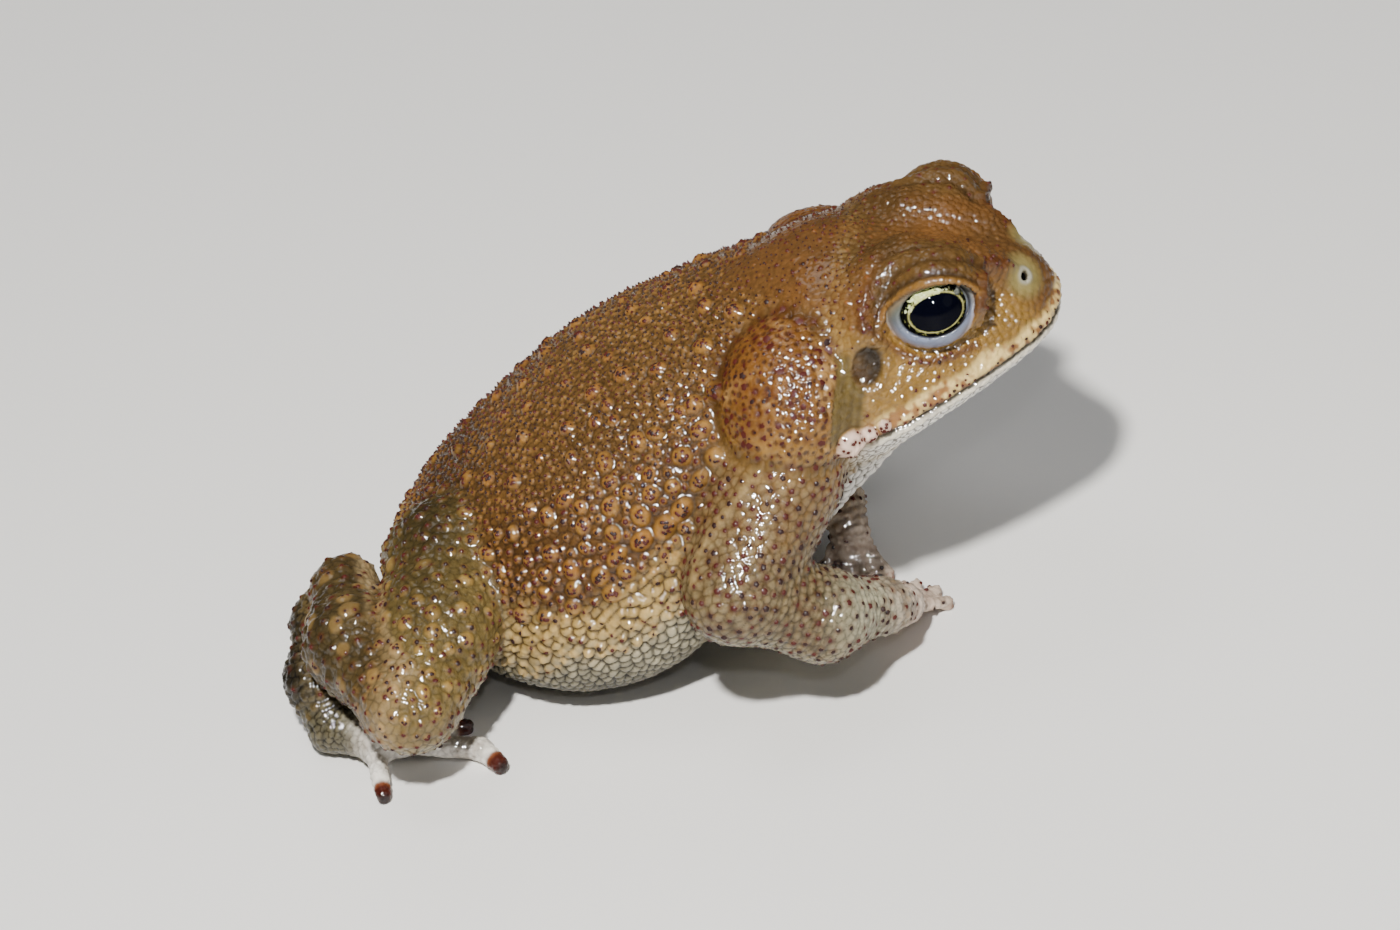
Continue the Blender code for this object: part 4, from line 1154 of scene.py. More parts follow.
# one on each tubercle, sharp on the back
spiny = on_back[small] > 0.5
keep = rng.random(len(small)) < np.where(belly[small] * pale[small] > 0.5, 0.2, np.where(pale[small] > 0.5, 0.6, 0.97))
s_, sp = small[keep], spiny[keep]
add_tips(s_, np.where(sp, rng.uniform(0.20, 0.30, len(s_)), np.where(limb[s_] > 0.5, rng.uniform(0.38, 0.56, len(s_)), rng.uniform(0.30, 0.48, len(s_)))),
         np.where(sp, 0.40, 0.19) * rng.uniform(0.7, 1.2, len(s_)), chance(len(s_), 0.55))
b_ = bead[rng.random(len(bead)) < np.where(w_bead[bead] > 0.4, 0.9, np.where(temple[bead] > 0.5, 0.8, 0.25))]
add_tips(b_, rng.uniform(0.18, 0.34, len(b_)), rng.uniform(0.10, 0.20, len(b_)), chance(len(b_), 0.7))
cand = scatter(np.clip(on_lid * w_head, 0, 1), 8000)
cand = cand[(on_lid[cand] > 0.4) & (LID_D[cand] > 1.6)]
dot = cand[spread(P0[cand], np.full(len(cand), 2.3), rng)]
add_tips(dot, rng.uniform(0.22, 0.36, len(dot)), 0.12, 1)
# fine spines between them over the back and nape
w_spine = on_back * (1 - part('parotoid')) + 0.5 * w_head * step(NORM[:, 2], 0.5, 0.8) * (X < 74)
cand = scatter(np.clip(w_spine, 0, 1), 30000)
cand = cand[(w_spine[cand] > 0.4) & (rel_small[cand] > 0.9)]
spine = cand[spread(P0[cand], np.full(len(cand), 1.05), rng)]
add_tips(spine, rng.uniform(0.11, 0.18, len(spine)), rng.uniform(0.22, 0.40, len(spine)), chance(len(spine), 0.15))
# dark dots over the gland, the lobes and along the lip
cand = scatter(w_gland, 12000)
cand = cand[w_gland[cand] > 0.5]
cand = cand[strip[cand] < 0.2]
dot = cand[spread(P0[cand], np.full(len(cand), 1.5) * (1 + 0.5 * noise(P0[cand], 5, 75)), rng)]
add_tips(dot, 0.20 + 0.50 * rng.random(len(dot)) ** 1.8, 0.07, chance(len(dot), 0.75))
lip_low = step(4.6 - mouth_w, 0, 3.4) * step(mouth_w, 0.5, 1.0) * step(HU, -3, 3)
w_lip = lip_low * w_head * (0.35 + 0.65 * step(24 - HU, 0, 20))
cand = scatter(np.clip(w_lip, 0, 1), 6000)
cand = cand[w_lip[cand] > 0.12 + 0.5 * rng.random(len(cand))]
dot = cand[spread(P0[cand], np.full(len(cand), 0.95), rng)]
add_tips(dot, rng.uniform(0.18, 0.38, len(dot)), 0.08, chance(len(dot), 0.75))
for s in (1, -1):
    spots = np.concatenate([c + unit(rng.normal(size=3)) * r * 0.9 for c, r in zip(lobe_c, lobe_r) for _ in range(int(40 * r / 3))]).reshape(-1, 3)
    spots[:, 1] *= s
    at = closest(spots, 1.6, SKIN_P)
    at = np.unique(at[at >= 0])
    add_tips(at[lobe_rel[at] < 1.0], 0.30, 0.07, 1)

A, N_, R_, H_, K_, ROOT = [np.concatenate(x) for x in (tips_at, tips_n, tips_r, tips_h, tips_kind, tips_root)]
a, b, d = nearby(A, R_ * 2.4, SKIN_P)
stain = np.zeros(len(P0))
np.maximum.at(stain, b, np.clip(1.25 - d / (R_[a] * 1.9), 0, 1))

lap('tips')
# ---------------------------------------------------------------- colours
def tone(*rgb):
    return srgb(*rgb)[None, :]


wide = fractal(P0, 14, 101)
fine = fractal(P0, 3.0, 102)
speck = noise(P0, 0.9, 103)
patchy = noise(P0, 4.2, 104)

height = step(Z - pale_line, 4, 30)
ground = mix(tone(98, 66, 34), tone(118, 86, 50), height)
knob = mix(tone(184, 130, 70), tone(178, 134, 80), height)
gold = mix(mix(tone(194, 144, 76), tone(186, 134, 72), height), tone(150, 92, 44), np.clip(0.5 * patchy + 0.2, 0, 1))
# the crease tones, and each granule darker towards its edge, are partly the skin's own tone and partly painted shade
cream, cream_crease = tone(206, 174, 120), tone(88, 64, 34)
white, white_crease = tone(168, 160, 142), tone(44, 38, 28)
cell_t = step(edge, 0.04, 0.40)
pale_top = mix(cream, white, belly)
pale_low = mix(cream_crease, white_crease, belly)

small_t = step(1.0 - rel_small, 0, 0.45) * free
big_t = step(1.06 - rel_big, 0, 0.42)
col = ground * (0.85 + 0.3 * cell_tone)[:, None]
# creases darker: partly own tone, partly painted shade
col = mix(col, ground * 0.42, crease * (1 - big_t))
col = mix(col, mix(pale_low, pale_top * (0.68 + 0.52 * cell_tone + 0.10 * patchy)[:, None], cell_t), pale)
col = mix(col, mix(knob, cream * 1.05, pale), (0.85 - 0.30 * on_back) * small_t)
col = mix(col, mix(gold, cream, 0.6 * pale), big_t * np.clip(0.80 + 0.35 * patchy, 0.5, 1))
# painted shade in the groove round each wart and tubercle
col = col * (1 - 0.26 * bump(rel_big - 1.12, 0.15) * (1 - 0.5 * pale))[:, None]
col = col * (1 - 0.26 * bump(rel_small - 1.08, 0.16) * free * (1 - 0.6 * pale))[:, None]

# limbs
arm = mix(tone(84, 68, 46), tone(124, 102, 74), np.clip(0.45 + 0.45 * fine, 0, 1))
arm = mix(arm, tone(146, 106, 62), 0.55 * w_uarm * step(Z, 30, 44))
# painted highlight on the tops of the arm's granules
arm = mix(arm, tone(186, 168, 144), 0.36 * np.clip(puff, 0, 1) * (1 - 0.4 * patchy))
# forearm darker in its ring furrows: partly own tone, partly painted shade
arm = arm * (1 - 0.5 * np.clip(-rings / 0.15, 0, 1) * w_farm)[:, None]
arm = mix(arm, tone(196, 192, 184), step(X, 60, 70) * w_farm * 0.8)
thigh = mix(tone(104, 88, 54), tone(134, 114, 74), np.clip(0.5 + 0.5 * fine, 0, 1))
thigh = mix(thigh, tone(168, 140, 90), 0.45 * small_t)
thigh = mix(thigh, tone(184, 148, 90), 0.8 * big_t)
thigh = mix(thigh, tone(150, 126, 96), 0.6 * step(22 - Z, 0, 10))
# painted shade on the upper rear of the thigh, where it meets the trunk
thigh = mix(thigh, thigh * 0.42, step(Z, 26, 36) * step(-2 - X, -6, 6))
bare_crease = w_thigh * step(3.2 - np.minimum(G['shank_r'], G['shank_l']), 0, 1.6) * step(Z, 10, 16)
thigh = mix(thigh, tone(196, 168, 138), 0.8 * bare_crease)
shank = mix(tone(50, 42, 28), tone(92, 76, 50), np.clip(0.5 + 0.5 * fine, 0, 1))
shank = mix(shank, tone(146, 118, 78), 0.65 * big_t)
shank = mix(shank, tone(206, 180, 150), bare_side)
# the tarsus's own wrinkled tone, painted much darker as shade
tarsus = mix(tone(24, 21, 17), tone(96, 86, 72), np.clip(0.12 + 0.5 * fine + 2.5 * rings, 0, 1))
# toes and soles darker in their creases: partly own tone, partly painted shade
foot = mix(tone(160, 150, 140), tone(242, 238, 234), np.clip(0.6 + 0.8 * fine + 1.5 * rings, 0, 1)) * (1 - 0.3 * crease)[:, None]
foot = mix(foot, mix(tone(118, 90, 72), tone(212, 194, 180), np.clip(0.6 + 0.8 * fine + 1.5 * rings, 0, 1)), np.clip(w_hand * 1.5, 0, 1))
foot = mix(foot, tone(104, 54, 34), np.clip(0.85 * w_hand * step(2.2 - tip_d, 0, 1.6) + 0.3 * w_hand * bump(tip_d - 6.0, 0.8), 0, 1))
hind = w_foot > w_hand
# the rear of the hind foot takes the tarsus's painted shade
foot = mix(foot, tarsus, np.where(hind, step(-19 - X, 0, 7), 0))
foot = mix(foot, tone(244, 240, 234), np.where(hind, bump(tip_d - 4.3, 0.9), 0))
foot = mix(foot, tone(128, 70, 40), np.where(hind, step(3.6 - tip_d, 0, 0.7), 0))
foot = mix(foot, tone(70, 22, 13), np.where(hind, step(3.1 - tip_d, 0, 0.8), 0))
foot = mix(foot, tone(28, 10, 10), np.where(hind, step(2.0 - tip_d, 0, 1.2), 0))
col = mix(col, arm, np.clip(w_uarm + w_farm, 0, 1))
col = mix(col, thigh, w_thigh)
col = mix(col, shank, w_shank)
col = mix(col, tarsus, w_tarsus)
col = mix(col, foot, np.clip(w_hand + w_foot, 0, 1))
limbs = w_uarm + w_farm + w_thigh + w_shank + w_tarsus
# limbs darker in their creases, and the pale undersides' granules darker at their edges: partly own tone, partly
# painted shade
col = mix(col, col * 0.50, crease * 0.85 * limbs * (1 - big_t))
col = mix(col, mix(white_crease, white, cell_t), under * (0.8 * (w_uarm + w_farm + w_thigh) + 0.35 * (w_shank + w_tarsus)))
back_thigh = w_thigh * step(pale_line + 6 - Z + wobble, -3, 4) * step(X, -8, 4)
col = mix(col, mix(tone(86, 78, 62), tone(158, 150, 134), cell_t), 0.85 * back_thigh)

# head
skull = mix(tone(138, 92, 52), tone(78, 56, 34), np.clip(0.40 + 0.6 * wide + 0.45 * fine, 0, 1))
skull = mix(skull, tone(70, 52, 28), 0.75 * bump((YA - 7) / 6, 1) * step(HU, 4, 10) * step(24 - HU, 0, 8) * step(NORM[:, 2], 0.5, 0.8))
head = mix(skull, tone(156, 120, 62), step(YA, 6, 11) * step(67 - Z, -4, 4) * 0.9)              # cheeks and lores
head = mix(head, mix(mix(tone(140, 98, 50), tone(206, 164, 90), cheek), tone(164, 92, 42), temple), np.clip(0.55 * hill_bead / 0.25, 0, 0.7))
head = mix(head, tone(92, 50, 26), 0.8 * np.clip(crest_line + pre + post, 0, 1))
head = mix(head, mix(tone(112, 84, 48), tone(84, 60, 36), np.clip(0.4 + 0.8 * fine, 0, 1)), on_lid * 0.9)
# painted shade in the lid's crease and in the groove under the crest
head = mix(head, tone(46, 30, 18), 0.65 * np.clip(lid_fold * step(EUP, -0.2, 2.5) + bump(ridge(CREST_LINE, 2.4) - 0.45, 0.2) * step(11.8 - ER, 0, 1) * 0.7, 0, 1))
head = mix(head, tone(156, 112, 60), 0.85 * np.clip(rim, 0, 1))
# painted shadow of the upper lid's rim along the opening
head = mix(head, tone(30, 20, 14), np.clip(top_lid * bump(LID_D + 0.10, 0.22), 0, 1))
head = mix(head, tone(152, 138, 96), smooth_nose * 0.95)
# pale grey rim round the nostril, brightened as a painted highlight
head = mix(head, tone(178, 182, 186), 0.6 * bump(no_r - 1.8, 0.30))
# painted shade in the nostril's opening
head = mix(head, tone(60, 52, 46), step(1.70 - no_r, 0, 0.25))
head = mix(head, tone(8, 7, 7), step(1.20 - no_r, 0, 0.35))
lip_band = step(4.4 + 0.9 * patchy - mouth_w, 0, 1.8) * step(mouth_w, 0.2, 0.7) * step(HU, -3, 3)
lip_tone = mix(tone(246, 216, 146), tone(132, 82, 46), np.clip(0.24 + 2.0 * fine + 1.3 * speck, 0, 0.92))
head = mix(head, lip_tone, lip_band * 0.92)
dark_edge = bump(mouth_w - 0.62, 0.42) * step(HU, -3, 3) * (0.65 + 0.5 * patchy)
head = mix(head, tone(58, 32, 20), np.clip(dark_edge, 0, 1))
# throat granules darker at their edges: partly own tone, partly painted shade
jaw = mix(tone(84, 78, 68), tone(240, 237, 232), cell_t)
head = mix(head, jaw, np.clip(throat, 0, 1))
head = mix(head, tone(232, 224, 206), np.clip(bump(mouth_w + 0.95, 0.65) * step(HU, -2, 4), 0, 1))
# painted shade in the mouth's groove
head = mix(head, tone(14, 8, 6), np.clip(line, 0, 1))
col = mix(col, head, w_head)
col = mix(col, jaw, np.clip(throat * (1 - w_head), 0, 1))
drum_t = step(1.25 - drum + 0.12 * patchy, 0, 0.5)
col = mix(col, mix(tone(4, 4, 3), tone(30, 23, 16), np.clip(0.4 + 0.9 * fine + 0.5 * speck, 0, 1)), drum_t)
col = mix(col, tone(128, 98, 56), np.clip(0.7 * bump(drum - 1.3, 0.18), 0, 1))

# gland
gz = step(Z, 46, 62)
col_gland = mix(tone(188, 142, 76), tone(140, 92, 44), gz)
# pale mottling, with a painted highlight over the gland's front top
col_gland = mix(col_gland, tone(222, 176, 124), np.clip(0.9 * fine + 0.7 * step(X, 62, 72) * gz - 0.1, 0, 0.8))
col_gland = mix(col_gland, tone(74, 40, 24), 0.8 * step(1.15 - pit_rel, 0, 0.5))
col = mix(col, col_gland, w_gland)
# painted shade in the groove round the gland
col = mix(col, col * 0.42, np.clip(gland_edge, 0, 1) * 0.85 * off_lobe)
olive = mix(tone(132, 112, 70), tone(92, 74, 42), np.clip(0.5 + 0.18 * np.sin(2 * np.pi * (st_x + 0.4 * noise(P0, 4, 61)) / 1.35) + 0.5 * fine, 0, 1))
col = mix(col, olive, np.clip(strip * 1.15 * off_lobe, 0, 1))
col = mix(col, tone(180, 152, 114), 0.8 * np.clip(arm_fold, 0, 1))

# whites, and the painted highlight round the nostril, keep their tone; all else is brought to the light
white_part = np.clip(throat + 0.9 * np.where(hind, w_foot * step(X, -26, -19), w_hand) + 0.35 * belly * (w_trunk > 0.4) + 0.7 * lip_band * w_head + 0.5 * bump(no_r - 1.8, 0.30), 0, 1)
gain = mix(V(TONE_GAIN)[None, :], V((0.92, 0.91, 0.88))[None, :], white_part)
col = col * gain
col = mix(col, tone(226, 196, 178) * 0.9, step(1.10 - lobe_rel, 0, 0.2))

# the wet inner lid
# grey-green at the top, partly painted shadow under the upper lid; lavender lower down
lavender = mix(tone(88, 92, 84), tone(120, 130, 154), step(-EUP, -2.0, 4.0))
col = mix(col, mix(lavender, tone(150, 118, 76), step(LID_D, -1.3, 0.2) * 0.5), membrane)
col = mix(col, tone(28, 26, 28), near_eye * bump(EYE_D, 0.30) * step(MEMBRANE_R + 0.6 - ER, 0, 0.3))

# brown round every horny tip; painted shade at the back end of the body and low on the trunk and forearms; and general
# unevenness
col = mix(col, tone(72, 28, 14), 0.65 * stain * (1 - membrane))
rump_shade = step(4 - X, -2, 8) * step(Z, 24, 34) * (w_trunk + w_thigh)
low_shade = step(17 - Z, 0, 12) * (w_trunk + 0.4 * w_farm) * step(0.45 - NORM[:, 2], 0, 0.5)
col = col * (1 - 0.40 * rump_shade - 0.72 * low_shade)[:, None]
col = col * (1 + 0.22 * wide + 0.14 * fine + 0.10 * speck)[:, None]
col = np.clip(col, 0.002, 0.95)


def cap(n_sides=5):
    """a blunt cone of unit radius and height"""
    ring = lambda r, z, t: [(r * np.cos(2 * np.pi * (k + t) / n_sides), r * np.sin(2 * np.pi * (k + t) / n_sides), z) for k in range(n_sides)]
    v = ring(1.15, -0.6, 0) + ring(0.78, 0.42, 0) + [(0, 0, 1.0)]
    f = []
    for k in range(n_sides):
        j = (k + 1) % n_sides
        f += [(k, j, n_sides + j), (k, n_sides + j, n_sides + k), (n_sides + k, n_sides + j, 2 * n_sides)]
    return np.array(v), np.array(f)


def build_mesh(name, P, T, collection=None):
    me = bpy.data.meshes.new(name)
    me.vertices.add(len(P))
    me.vertices.foreach_set('co', P.astype(np.float32).ravel())
    me.loops.add(len(T) * 3)
    me.loops.foreach_set('vertex_index', T.astype(np.int32).ravel())
    me.polygons.add(len(T))
    me.polygons.foreach_set('loop_start', np.arange(0, len(T) * 3, 3, dtype=np.int32))
    me.polygons.foreach_set('use_smooth', np.ones(len(T), bool))
    me.update(calc_edges=True)
    o = bpy.data.objects.new(name, me)
    bpy.context.scene.collection.objects.link(o)
    return o


def to_world(P):
    return (P - V(ORIGIN)) * MM


def paint(me, name, rgb):
    at = me.color_attributes.new(name, 'FLOAT_COLOR', 'POINT')
    at.data.foreach_set('color', np.concatenate([rgb, np.ones((len(rgb), 1))], 1).astype(np.float32).ravel())


def value(me, name, v):
    me.attributes.new(name, 'FLOAT', 'POINT').data.foreach_set('value', v.astype(np.float32))


# ---------------------------------------------------------------- materials
def node_material(name):
    m = bpy.data.materials.new(name)
    m.use_nodes = True
    return m, m.node_tree.nodes, m.node_tree.links, m.node_tree.nodes['Principled BSDF']


def skin_material():
    m, N, L, b = node_material('toad_skin')
    tone_ = N.new('ShaderNodeAttribute')
    tone_.attribute_name = 'tone'
    grain_ = N.new('ShaderNodeAttribute')
    grain_.attribute_name = 'grain_bump_and_shade'
    co = N.new('ShaderNodeTexCoord')

    def ranged(src, lo, hi, to_lo, to_hi):
        n = N.new('ShaderNodeMapRange')
        for k, v in zip(('From Min', 'From Max', 'To Min', 'To Max'), (lo, hi, to_lo, to_hi)):
            n.inputs[k].default_value = v
        L.new(src, n.inputs['Value'])
        return n.outputs['Result']

    def times(a_, b_):
        n = N.new('ShaderNodeMath')
        n.operation = 'MULTIPLY'
        L.new(a_, n.inputs[0])
        if isinstance(b_, float):
            n.inputs[1].default_value = b_
        else:
            L.new(b_, n.inputs[1])
        return n.outputs['Value']

    soft = N.new('ShaderNodeTexNoise')
    soft.inputs['Scale'].default_value = 2100
    soft.inputs['Detail'].default_value = 3
    L.new(co.outputs['Object'], soft.inputs['Vector'])
    pebble = N.new('ShaderNodeTexVoronoi')
    pebble.inputs['Scale'].default_value = 1350
    L.new(co.outputs['Object'], pebble.inputs['Vector'])
    # painted shade: darker between the finest grains, times random unevenness
    dark = ranged(pebble.outputs['Distance'], 0.30, 0.80, 1.10, 0.66)
    uneven = ranged(soft.outputs['Fac'], 0.3, 0.7, 0.86, 1.14)
    shade = times(dark, uneven)
    blend = N.new('ShaderNodeMix')
    blend.data_type = 'FLOAT'
    L.new(grain_.outputs['Fac'], blend.inputs['Factor'])
    blend.inputs['A'].default_value = 1.0
    L.new(shade, blend.inputs['B'])
    mul = N.new('ShaderNodeVectorMath')
    mul.operation = 'SCALE'
    L.new(tone_.outputs['Color'], mul.inputs[0])
    L.new(blend.outputs['Result'], mul.inputs['Scale'])
    L.new(mul.outputs['Vector'], b.inputs['Base Color'])
    L.new(ranged(soft.outputs['Fac'], 0.3, 0.7, 0.46, 0.66), b.inputs['Roughness'])
    bp = N.new('ShaderNodeBump')
    bp.inputs['Distance'].default_value = 0.00030
    bp.invert = True
    L.new(times(grain_.outputs['Fac'], 0.6), bp.inputs['Strength'])
    L.new(pebble.outputs['Distance'], bp.inputs['Height'])
    bp2 = N.new('ShaderNodeBump')
    bp2.inputs['Strength'].default_value = 0.35
    bp2.inputs['Distance'].default_value = 0.00022
    L.new(soft.outputs['Fac'], bp2.inputs['Height'])
    L.new(bp.outputs['Normal'], bp2.inputs['Normal'])
    L.new(bp2.outputs['Normal'], b.inputs['Normal'])
    b.inputs['Coat Weight'].default_value = 0.62
    b.inputs['Coat Roughness'].default_value = 0.085
    b.inputs['Coat IOR'].default_value = 1.40
    b.inputs['Specular IOR Level'].default_value = 0.04
    return m


def plain_material(name, rgb, rough, coat=0.0):
    m, N, L, b = node_material(name)
    b.inputs['Base Color'].default_value = (*srgb(*rgb), 1)
    b.inputs['Roughness'].default_value = rough
    b.inputs['Specular IOR Level'].default_value = 0.1
    b.inputs['Coat Weight'].default_value = coat
    b.inputs['Coat Roughness'].default_value = 0.06
    return m


def eye_material():
    m, N, L, b = node_material('eye')
    a = N.new('ShaderNodeAttribute')
    a.attribute_name = 'tone'
    L.new(a.outputs['Color'], b.inputs['Base Color'])
    b.inputs['Roughness'].default_value = 0.35
    b.inputs['Specular IOR Level'].default_value = 0.0
    b.inputs['Coat Weight'].default_value = 0.09
    b.inputs['Coat Roughness'].default_value = 0.015
    return m


# ---------------------------------------------------------------- unwrap of the skin's own shape
def unwrap():
    """a flat chart for each body part seen from each of six sides, packed in rows; one pair per triangle corner"""
    which = np.argmax(np.stack([share[k] for k in sorted(share)]), 0)
    facing = NORM[TRI].mean(1)
    axis = np.argmax(np.abs(facing), 1)
    chart = which[TRI[:, 0]] * 6 + axis * 2 + (facing[np.arange(len(TRI)), axis] > 0)
    order = np.argsort(chart, kind='stable')
    ids, first = np.unique(chart[order], return_index=True)
    groups = [g for g in np.split(order, first[1:])]
    flats = []
    for c, g in zip(ids, groups):
        keep = [k for k in range(3) if k != (c % 6) // 2]
        q = P0[TRI[g]][:, :, keep]
        q = q - q.reshape(-1, 2).min(0)
        if q[..., 1].max() > q[..., 0].max():
            q = q[..., ::-1]
        flats.append(q)
    size = np.array([q.reshape(-1, 2).max(0) for q in flats]) + 1.0
    wide_ = np.sqrt((size[:, 0] * size[:, 1]).sum() * 1.15)
    x, y, row_h, tall = 0.0, 0.0, 0.0, 0.0
    uv = np.zeros((len(TRI), 3, 2))
    for i in np.argsort(-size[:, 1]):
        if x + size[i, 0] > wide_ and x > 0:
            x, y, row_h = 0.0, y + row_h, 0.0
        uv[groups[i]] = flats[i] + (x + 0.5, y + 0.5)
        x, row_h = x + size[i, 0], max(row_h, size[i, 1])
        tall = max(tall, y + row_h)
    return uv / max(wide_, tall, uv.max() + 0.5)


def give_map(o, uv):
    layer = o.data.uv_layers.new(name='OFBake')
    layer.data.foreach_set('uv', np.ascontiguousarray(uv, dtype=np.float32).ravel())


SKIN_UV = unwrap()
vert_uv = np.zeros((len(P0), 2))
vert_uv[TRI.ravel()] = SKIN_UV.reshape(-1, 2)
lap('unwrap')

# ---------------------------------------------------------------- building
skin = build_mesh('skin', to_world(SKIN_P), TRI)
give_map(skin, SKIN_UV)
paint(skin.data, 'tone', col)
# how strongly the fine grains show: their bumps and the painted shade between them
grain_bump_and_shade_at = np.clip(0.30 + 0.45 * on_back - 0.15 * pale + 0.22 * w_head + 0.15 * (w_uarm + w_farm) - 0.2 * big_t - membrane - 0.6 * smooth_nose - 0.4 * lip_band, 0, 1)
value(skin.data, 'grain_bump_and_shade', grain_bump_and_shade_at)
skin.data.materials.append(skin_material())
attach(skin, 'root')
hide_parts(*[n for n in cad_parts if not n.startswith('eye')])

cv, cf = cap()
t1, t2 = tangents(N_, rng.normal(size=N_.shape))
for kind, name, rgb in ((0, 'horn_dark', (38, 14, 8)), (1, 'horn_red', (68, 20, 10))):
    k = K_ == kind
    P = (A[k][:, None] + t1[k][:, None] * cv[None, :, 0:1] * R_[k][:, None, None]
         + t2[k][:, None] * cv[None, :, 1:2] * R_[k][:, None, None] + N_[k][:, None] * cv[None, :, 2:3] * H_[k][:, None, None]).reshape(-1, 3)
    P[:, 2] = np.maximum(P[:, 2], 0.02)
    F = (cf[None] + (np.arange(k.sum()) * len(cv))[:, None, None]).reshape(-1, 3)
    o = build_mesh(name, to_world(P), F)
    o.data.materials.append(plain_material(name, rgb, 0.6, 0.12))
    give_map(o, (vert_uv[ROOT[k]][:, None] + 0.0015 * cv[None, :, :2] / 1.15).reshape(-1, 2)[F.ravel()])
    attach(o, 'root')
    print(name, k.sum(), len(F))


def eyeball(s):
    """fine ball with the pupil and iris on it, facing along the gaze"""
    n, m = 150, 220
    th = np.linspace(0, np.pi, n) ** 1.25 / np.pi ** 0.25
    ph = np.arange(m) * 2 * np.pi / m
    x = np.concatenate([[(0, 0, 1)], np.stack([np.outer(np.sin(th[1:-1]), np.cos(ph)), np.outer(np.sin(th[1:-1]), np.sin(ph)),
                                               np.repeat(np.cos(th[1:-1])[:, None], m, 1)], -1).reshape(-1, 3), [(0, 0, -1)]])
    f = []
    k = np.arange(m)
    j = (k + 1) % m
    f.append(np.stack([np.zeros(m, int), 1 + k, 1 + j], 1))
    for r in range(n - 3):
        a, c = 1 + r * m, 1 + (r + 1) * m
        f.append(np.stack([a + k, c + k, c + j], 1))
        f.append(np.stack([a + k, c + j, a + j], 1))
    last, a = len(x) - 1, 1 + (n - 3) * m
    f.append(np.stack([a + k, np.full(m, last), a + j], 1))
    f = np.concatenate(f)
    # local: x along the slit, y up, z out
    Mx = np.stack([EYE_AXES[:, 0], -EYE_AXES[:, 1], EYE_AXES[:, 2]], 1)
    u, v, w = x.T * EYE_R
    bulge = 0.35 * bump(np.sqrt(u * u + v * v), 4.2) * (w > 0)
    P = V(EYE_C) + (x * (EYE_R + bulge)[:, None]) @ Mx.T
    if s < 0:
        P[:, 1] *= -1
    flip = np.linalg.det(Mx) * s < 0
    if flip:
        f = f[:, ::-1]
    o = build_mesh('eyeball_l' if s > 0 else 'eyeball_r', to_world(P), f)
    pup = np.sqrt((u / 4.3) ** 2 + ((v + 0.35) / 3.0) ** 2)
    rim_ = np.sqrt((u / 5.7) ** 2 + ((v + 0.1) / 4.6) ** 2)
    L = x * EYE_R
    fleck = noise(L + 40, 0.42, 201) + 0.7 * noise(L + 40, 0.2, 202)
    turn_ = np.arctan2(v, -u)                                   # 0 to the rear, pi/2 up
    top_ = np.clip(np.cos(turn_ - 1.25), 0, 1) ** 1.2
    band = 2.7 * top_ * step(1.0 - rim_, -0.02, 0.16) - 1.55
    gold_ = step(fleck + band, -0.1, 0.45)
    dust = 0.6 * step(fleck - 0.35, 0, 0.5) * step(1.0 - rim_, 0.0, 0.1)
    ring_ = bump(pup - 1.07, 0.034) * (0.6 + 0.4 * step(fleck, -0.6, 0.2))
    c = mix(tone(10, 11, 10), tone(150, 150, 84), np.clip(dust, 0, 1))
    c = mix(c, mix(tone(196, 206, 128), tone(226, 236, 190), step(fleck, -0.2, 0.9)), np.clip(gold_, 0, 1))
    c = mix(c, tone(190, 186, 116), np.clip(ring_, 0, 1))
    c = mix(c, tone(4, 5, 14), step(1.03 - pup, 0, 0.05))
    c = mix(c, tone(8, 8, 8), step(rim_, 0.97, 1.03))
    c = np.where((w < 0)[:, None], tone(20, 18, 18), c)
    paint(o.data, 'tone', c)
    o.data.materials.append(EYE_MATERIAL)
    front_ = (w[f] > 0).any(1)
    give_map(o, np.where(front_[:, None, None], x[f][..., :2] * 0.24 + 0.25, x[f][..., :2] * 0.24 + 0.75))
    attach(o, 'root')
    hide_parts('eye_l' if s > 0 else 'eye_r')


EYE_MATERIAL = eye_material()
eyeball(1)
eyeball(-1)

lap('built')
# ---------------------------------------------------------------- floor, lights and camera
floor = build_mesh('floor', np.array([(-1.6, -1.6, 0), (1.6, -1.6, 0), (1.6, 1.6, 0), (-1.6, 1.6, 0)], float) + V((0, 0, -0.0001)),
                   np.array([(0, 1, 2), (0, 2, 3)]))
fm, N, L, b = node_material('floor')
b.inputs['Base Color'].default_value = (0.82, 0.81, 0.79, 1)
b.inputs['Roughness'].default_value = 0.6
floor.data.materials.append(fm)

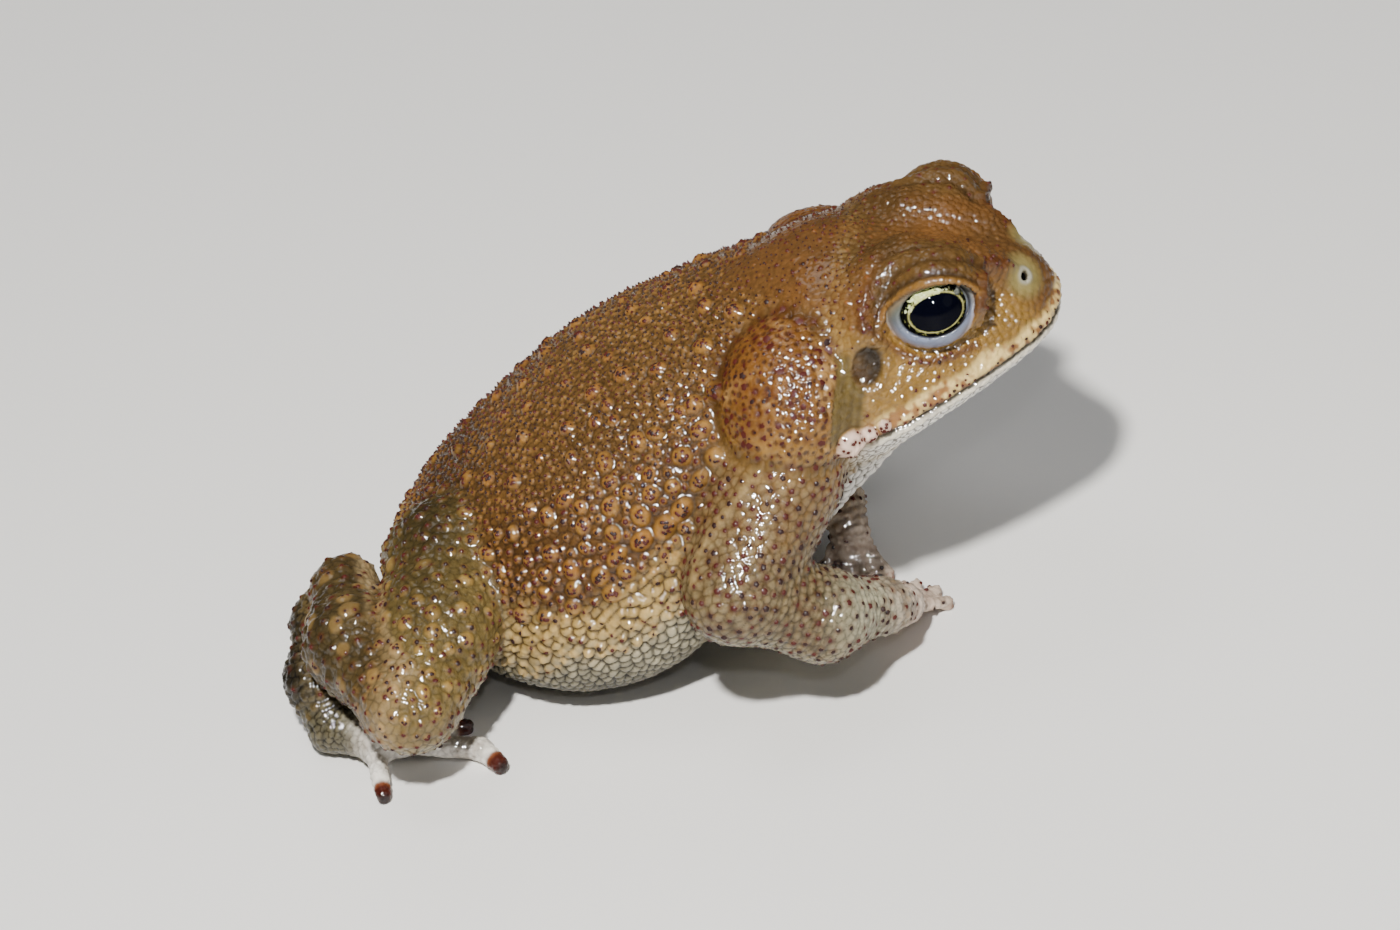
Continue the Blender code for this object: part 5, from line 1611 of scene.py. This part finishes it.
world = bpy.data.worlds.new('studio')
bpy.context.scene.world = world
world.use_nodes = True
world.node_tree.nodes['Background'].inputs['Color'].default_value = (0.90, 0.94, 1.0, 1)
world.node_tree.nodes['Background'].inputs['Strength'].default_value = 0.05


def lamp(name, at, aim, size, power, colour=(1, 1, 1)):
    l = bpy.data.lights.new(name, 'AREA')
    l.shape = 'DISK'
    l.size = size
    l.energy = power
    l.color = colour
    o = bpy.data.objects.new(name, l)
    bpy.context.scene.collection.objects.link(o)
    o.location = at
    o.rotation_euler = (Vector(aim) - Vector(at)).to_track_quat('-Z', 'Y').to_euler()
    return o


CAM_AT = (V((145.3732, -605.0305, 458.9823)) - V(ORIGIN)) * MM
CAM_R, CAM_U, CAM_B = V((0.9871, 0.0729, -0.1422)), V((0.0729, 0.5864, 0.8067)), V((0.1422, -0.8067, 0.5736))
lamp('key', tuple(CAM_AT + CAM_U * 0.28 - CAM_R * 0.13), (0, 0, 0.03), 0.05, 12.5, (1.0, 0.98, 0.94))
spark = lamp('spark', tuple(CAM_AT + CAM_U * 0.10 + CAM_R * 0.02), (0, 0, 0.03), 0.032, 42.0)
spark.visible_diffuse = False
lamp('fill', (0.75, -0.35, 0.40), (0, 0, 0.03), 0.5, 0.6, (0.95, 0.97, 1.0))
lamp('top', (-0.20, 0.10, 0.80), (0, 0, 0.03), 0.35, 1.2)
back = lamp('back', (-0.35, 0.75, 0.50), (0, 0, 0.03), 0.5, 2.2)
back.visible_glossy = False

cam = bpy.data.cameras.new('camera')
cam.sensor_width = 36
cam.lens = 109.93
cam.clip_start = 0.01
cam_o = bpy.data.objects.new('camera', cam)
bpy.context.scene.collection.objects.link(cam_o)
R3 = Matrix(((CAM_R[0], CAM_U[0], CAM_B[0]), (CAM_R[1], CAM_U[1], CAM_B[1]), (CAM_R[2], CAM_U[2], CAM_B[2])))
cam_o.matrix_world = Matrix.Translation(Vector(CAM_AT)) @ R3.to_4x4()
bpy.context.scene.camera = cam_o

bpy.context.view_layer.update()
lap('end')
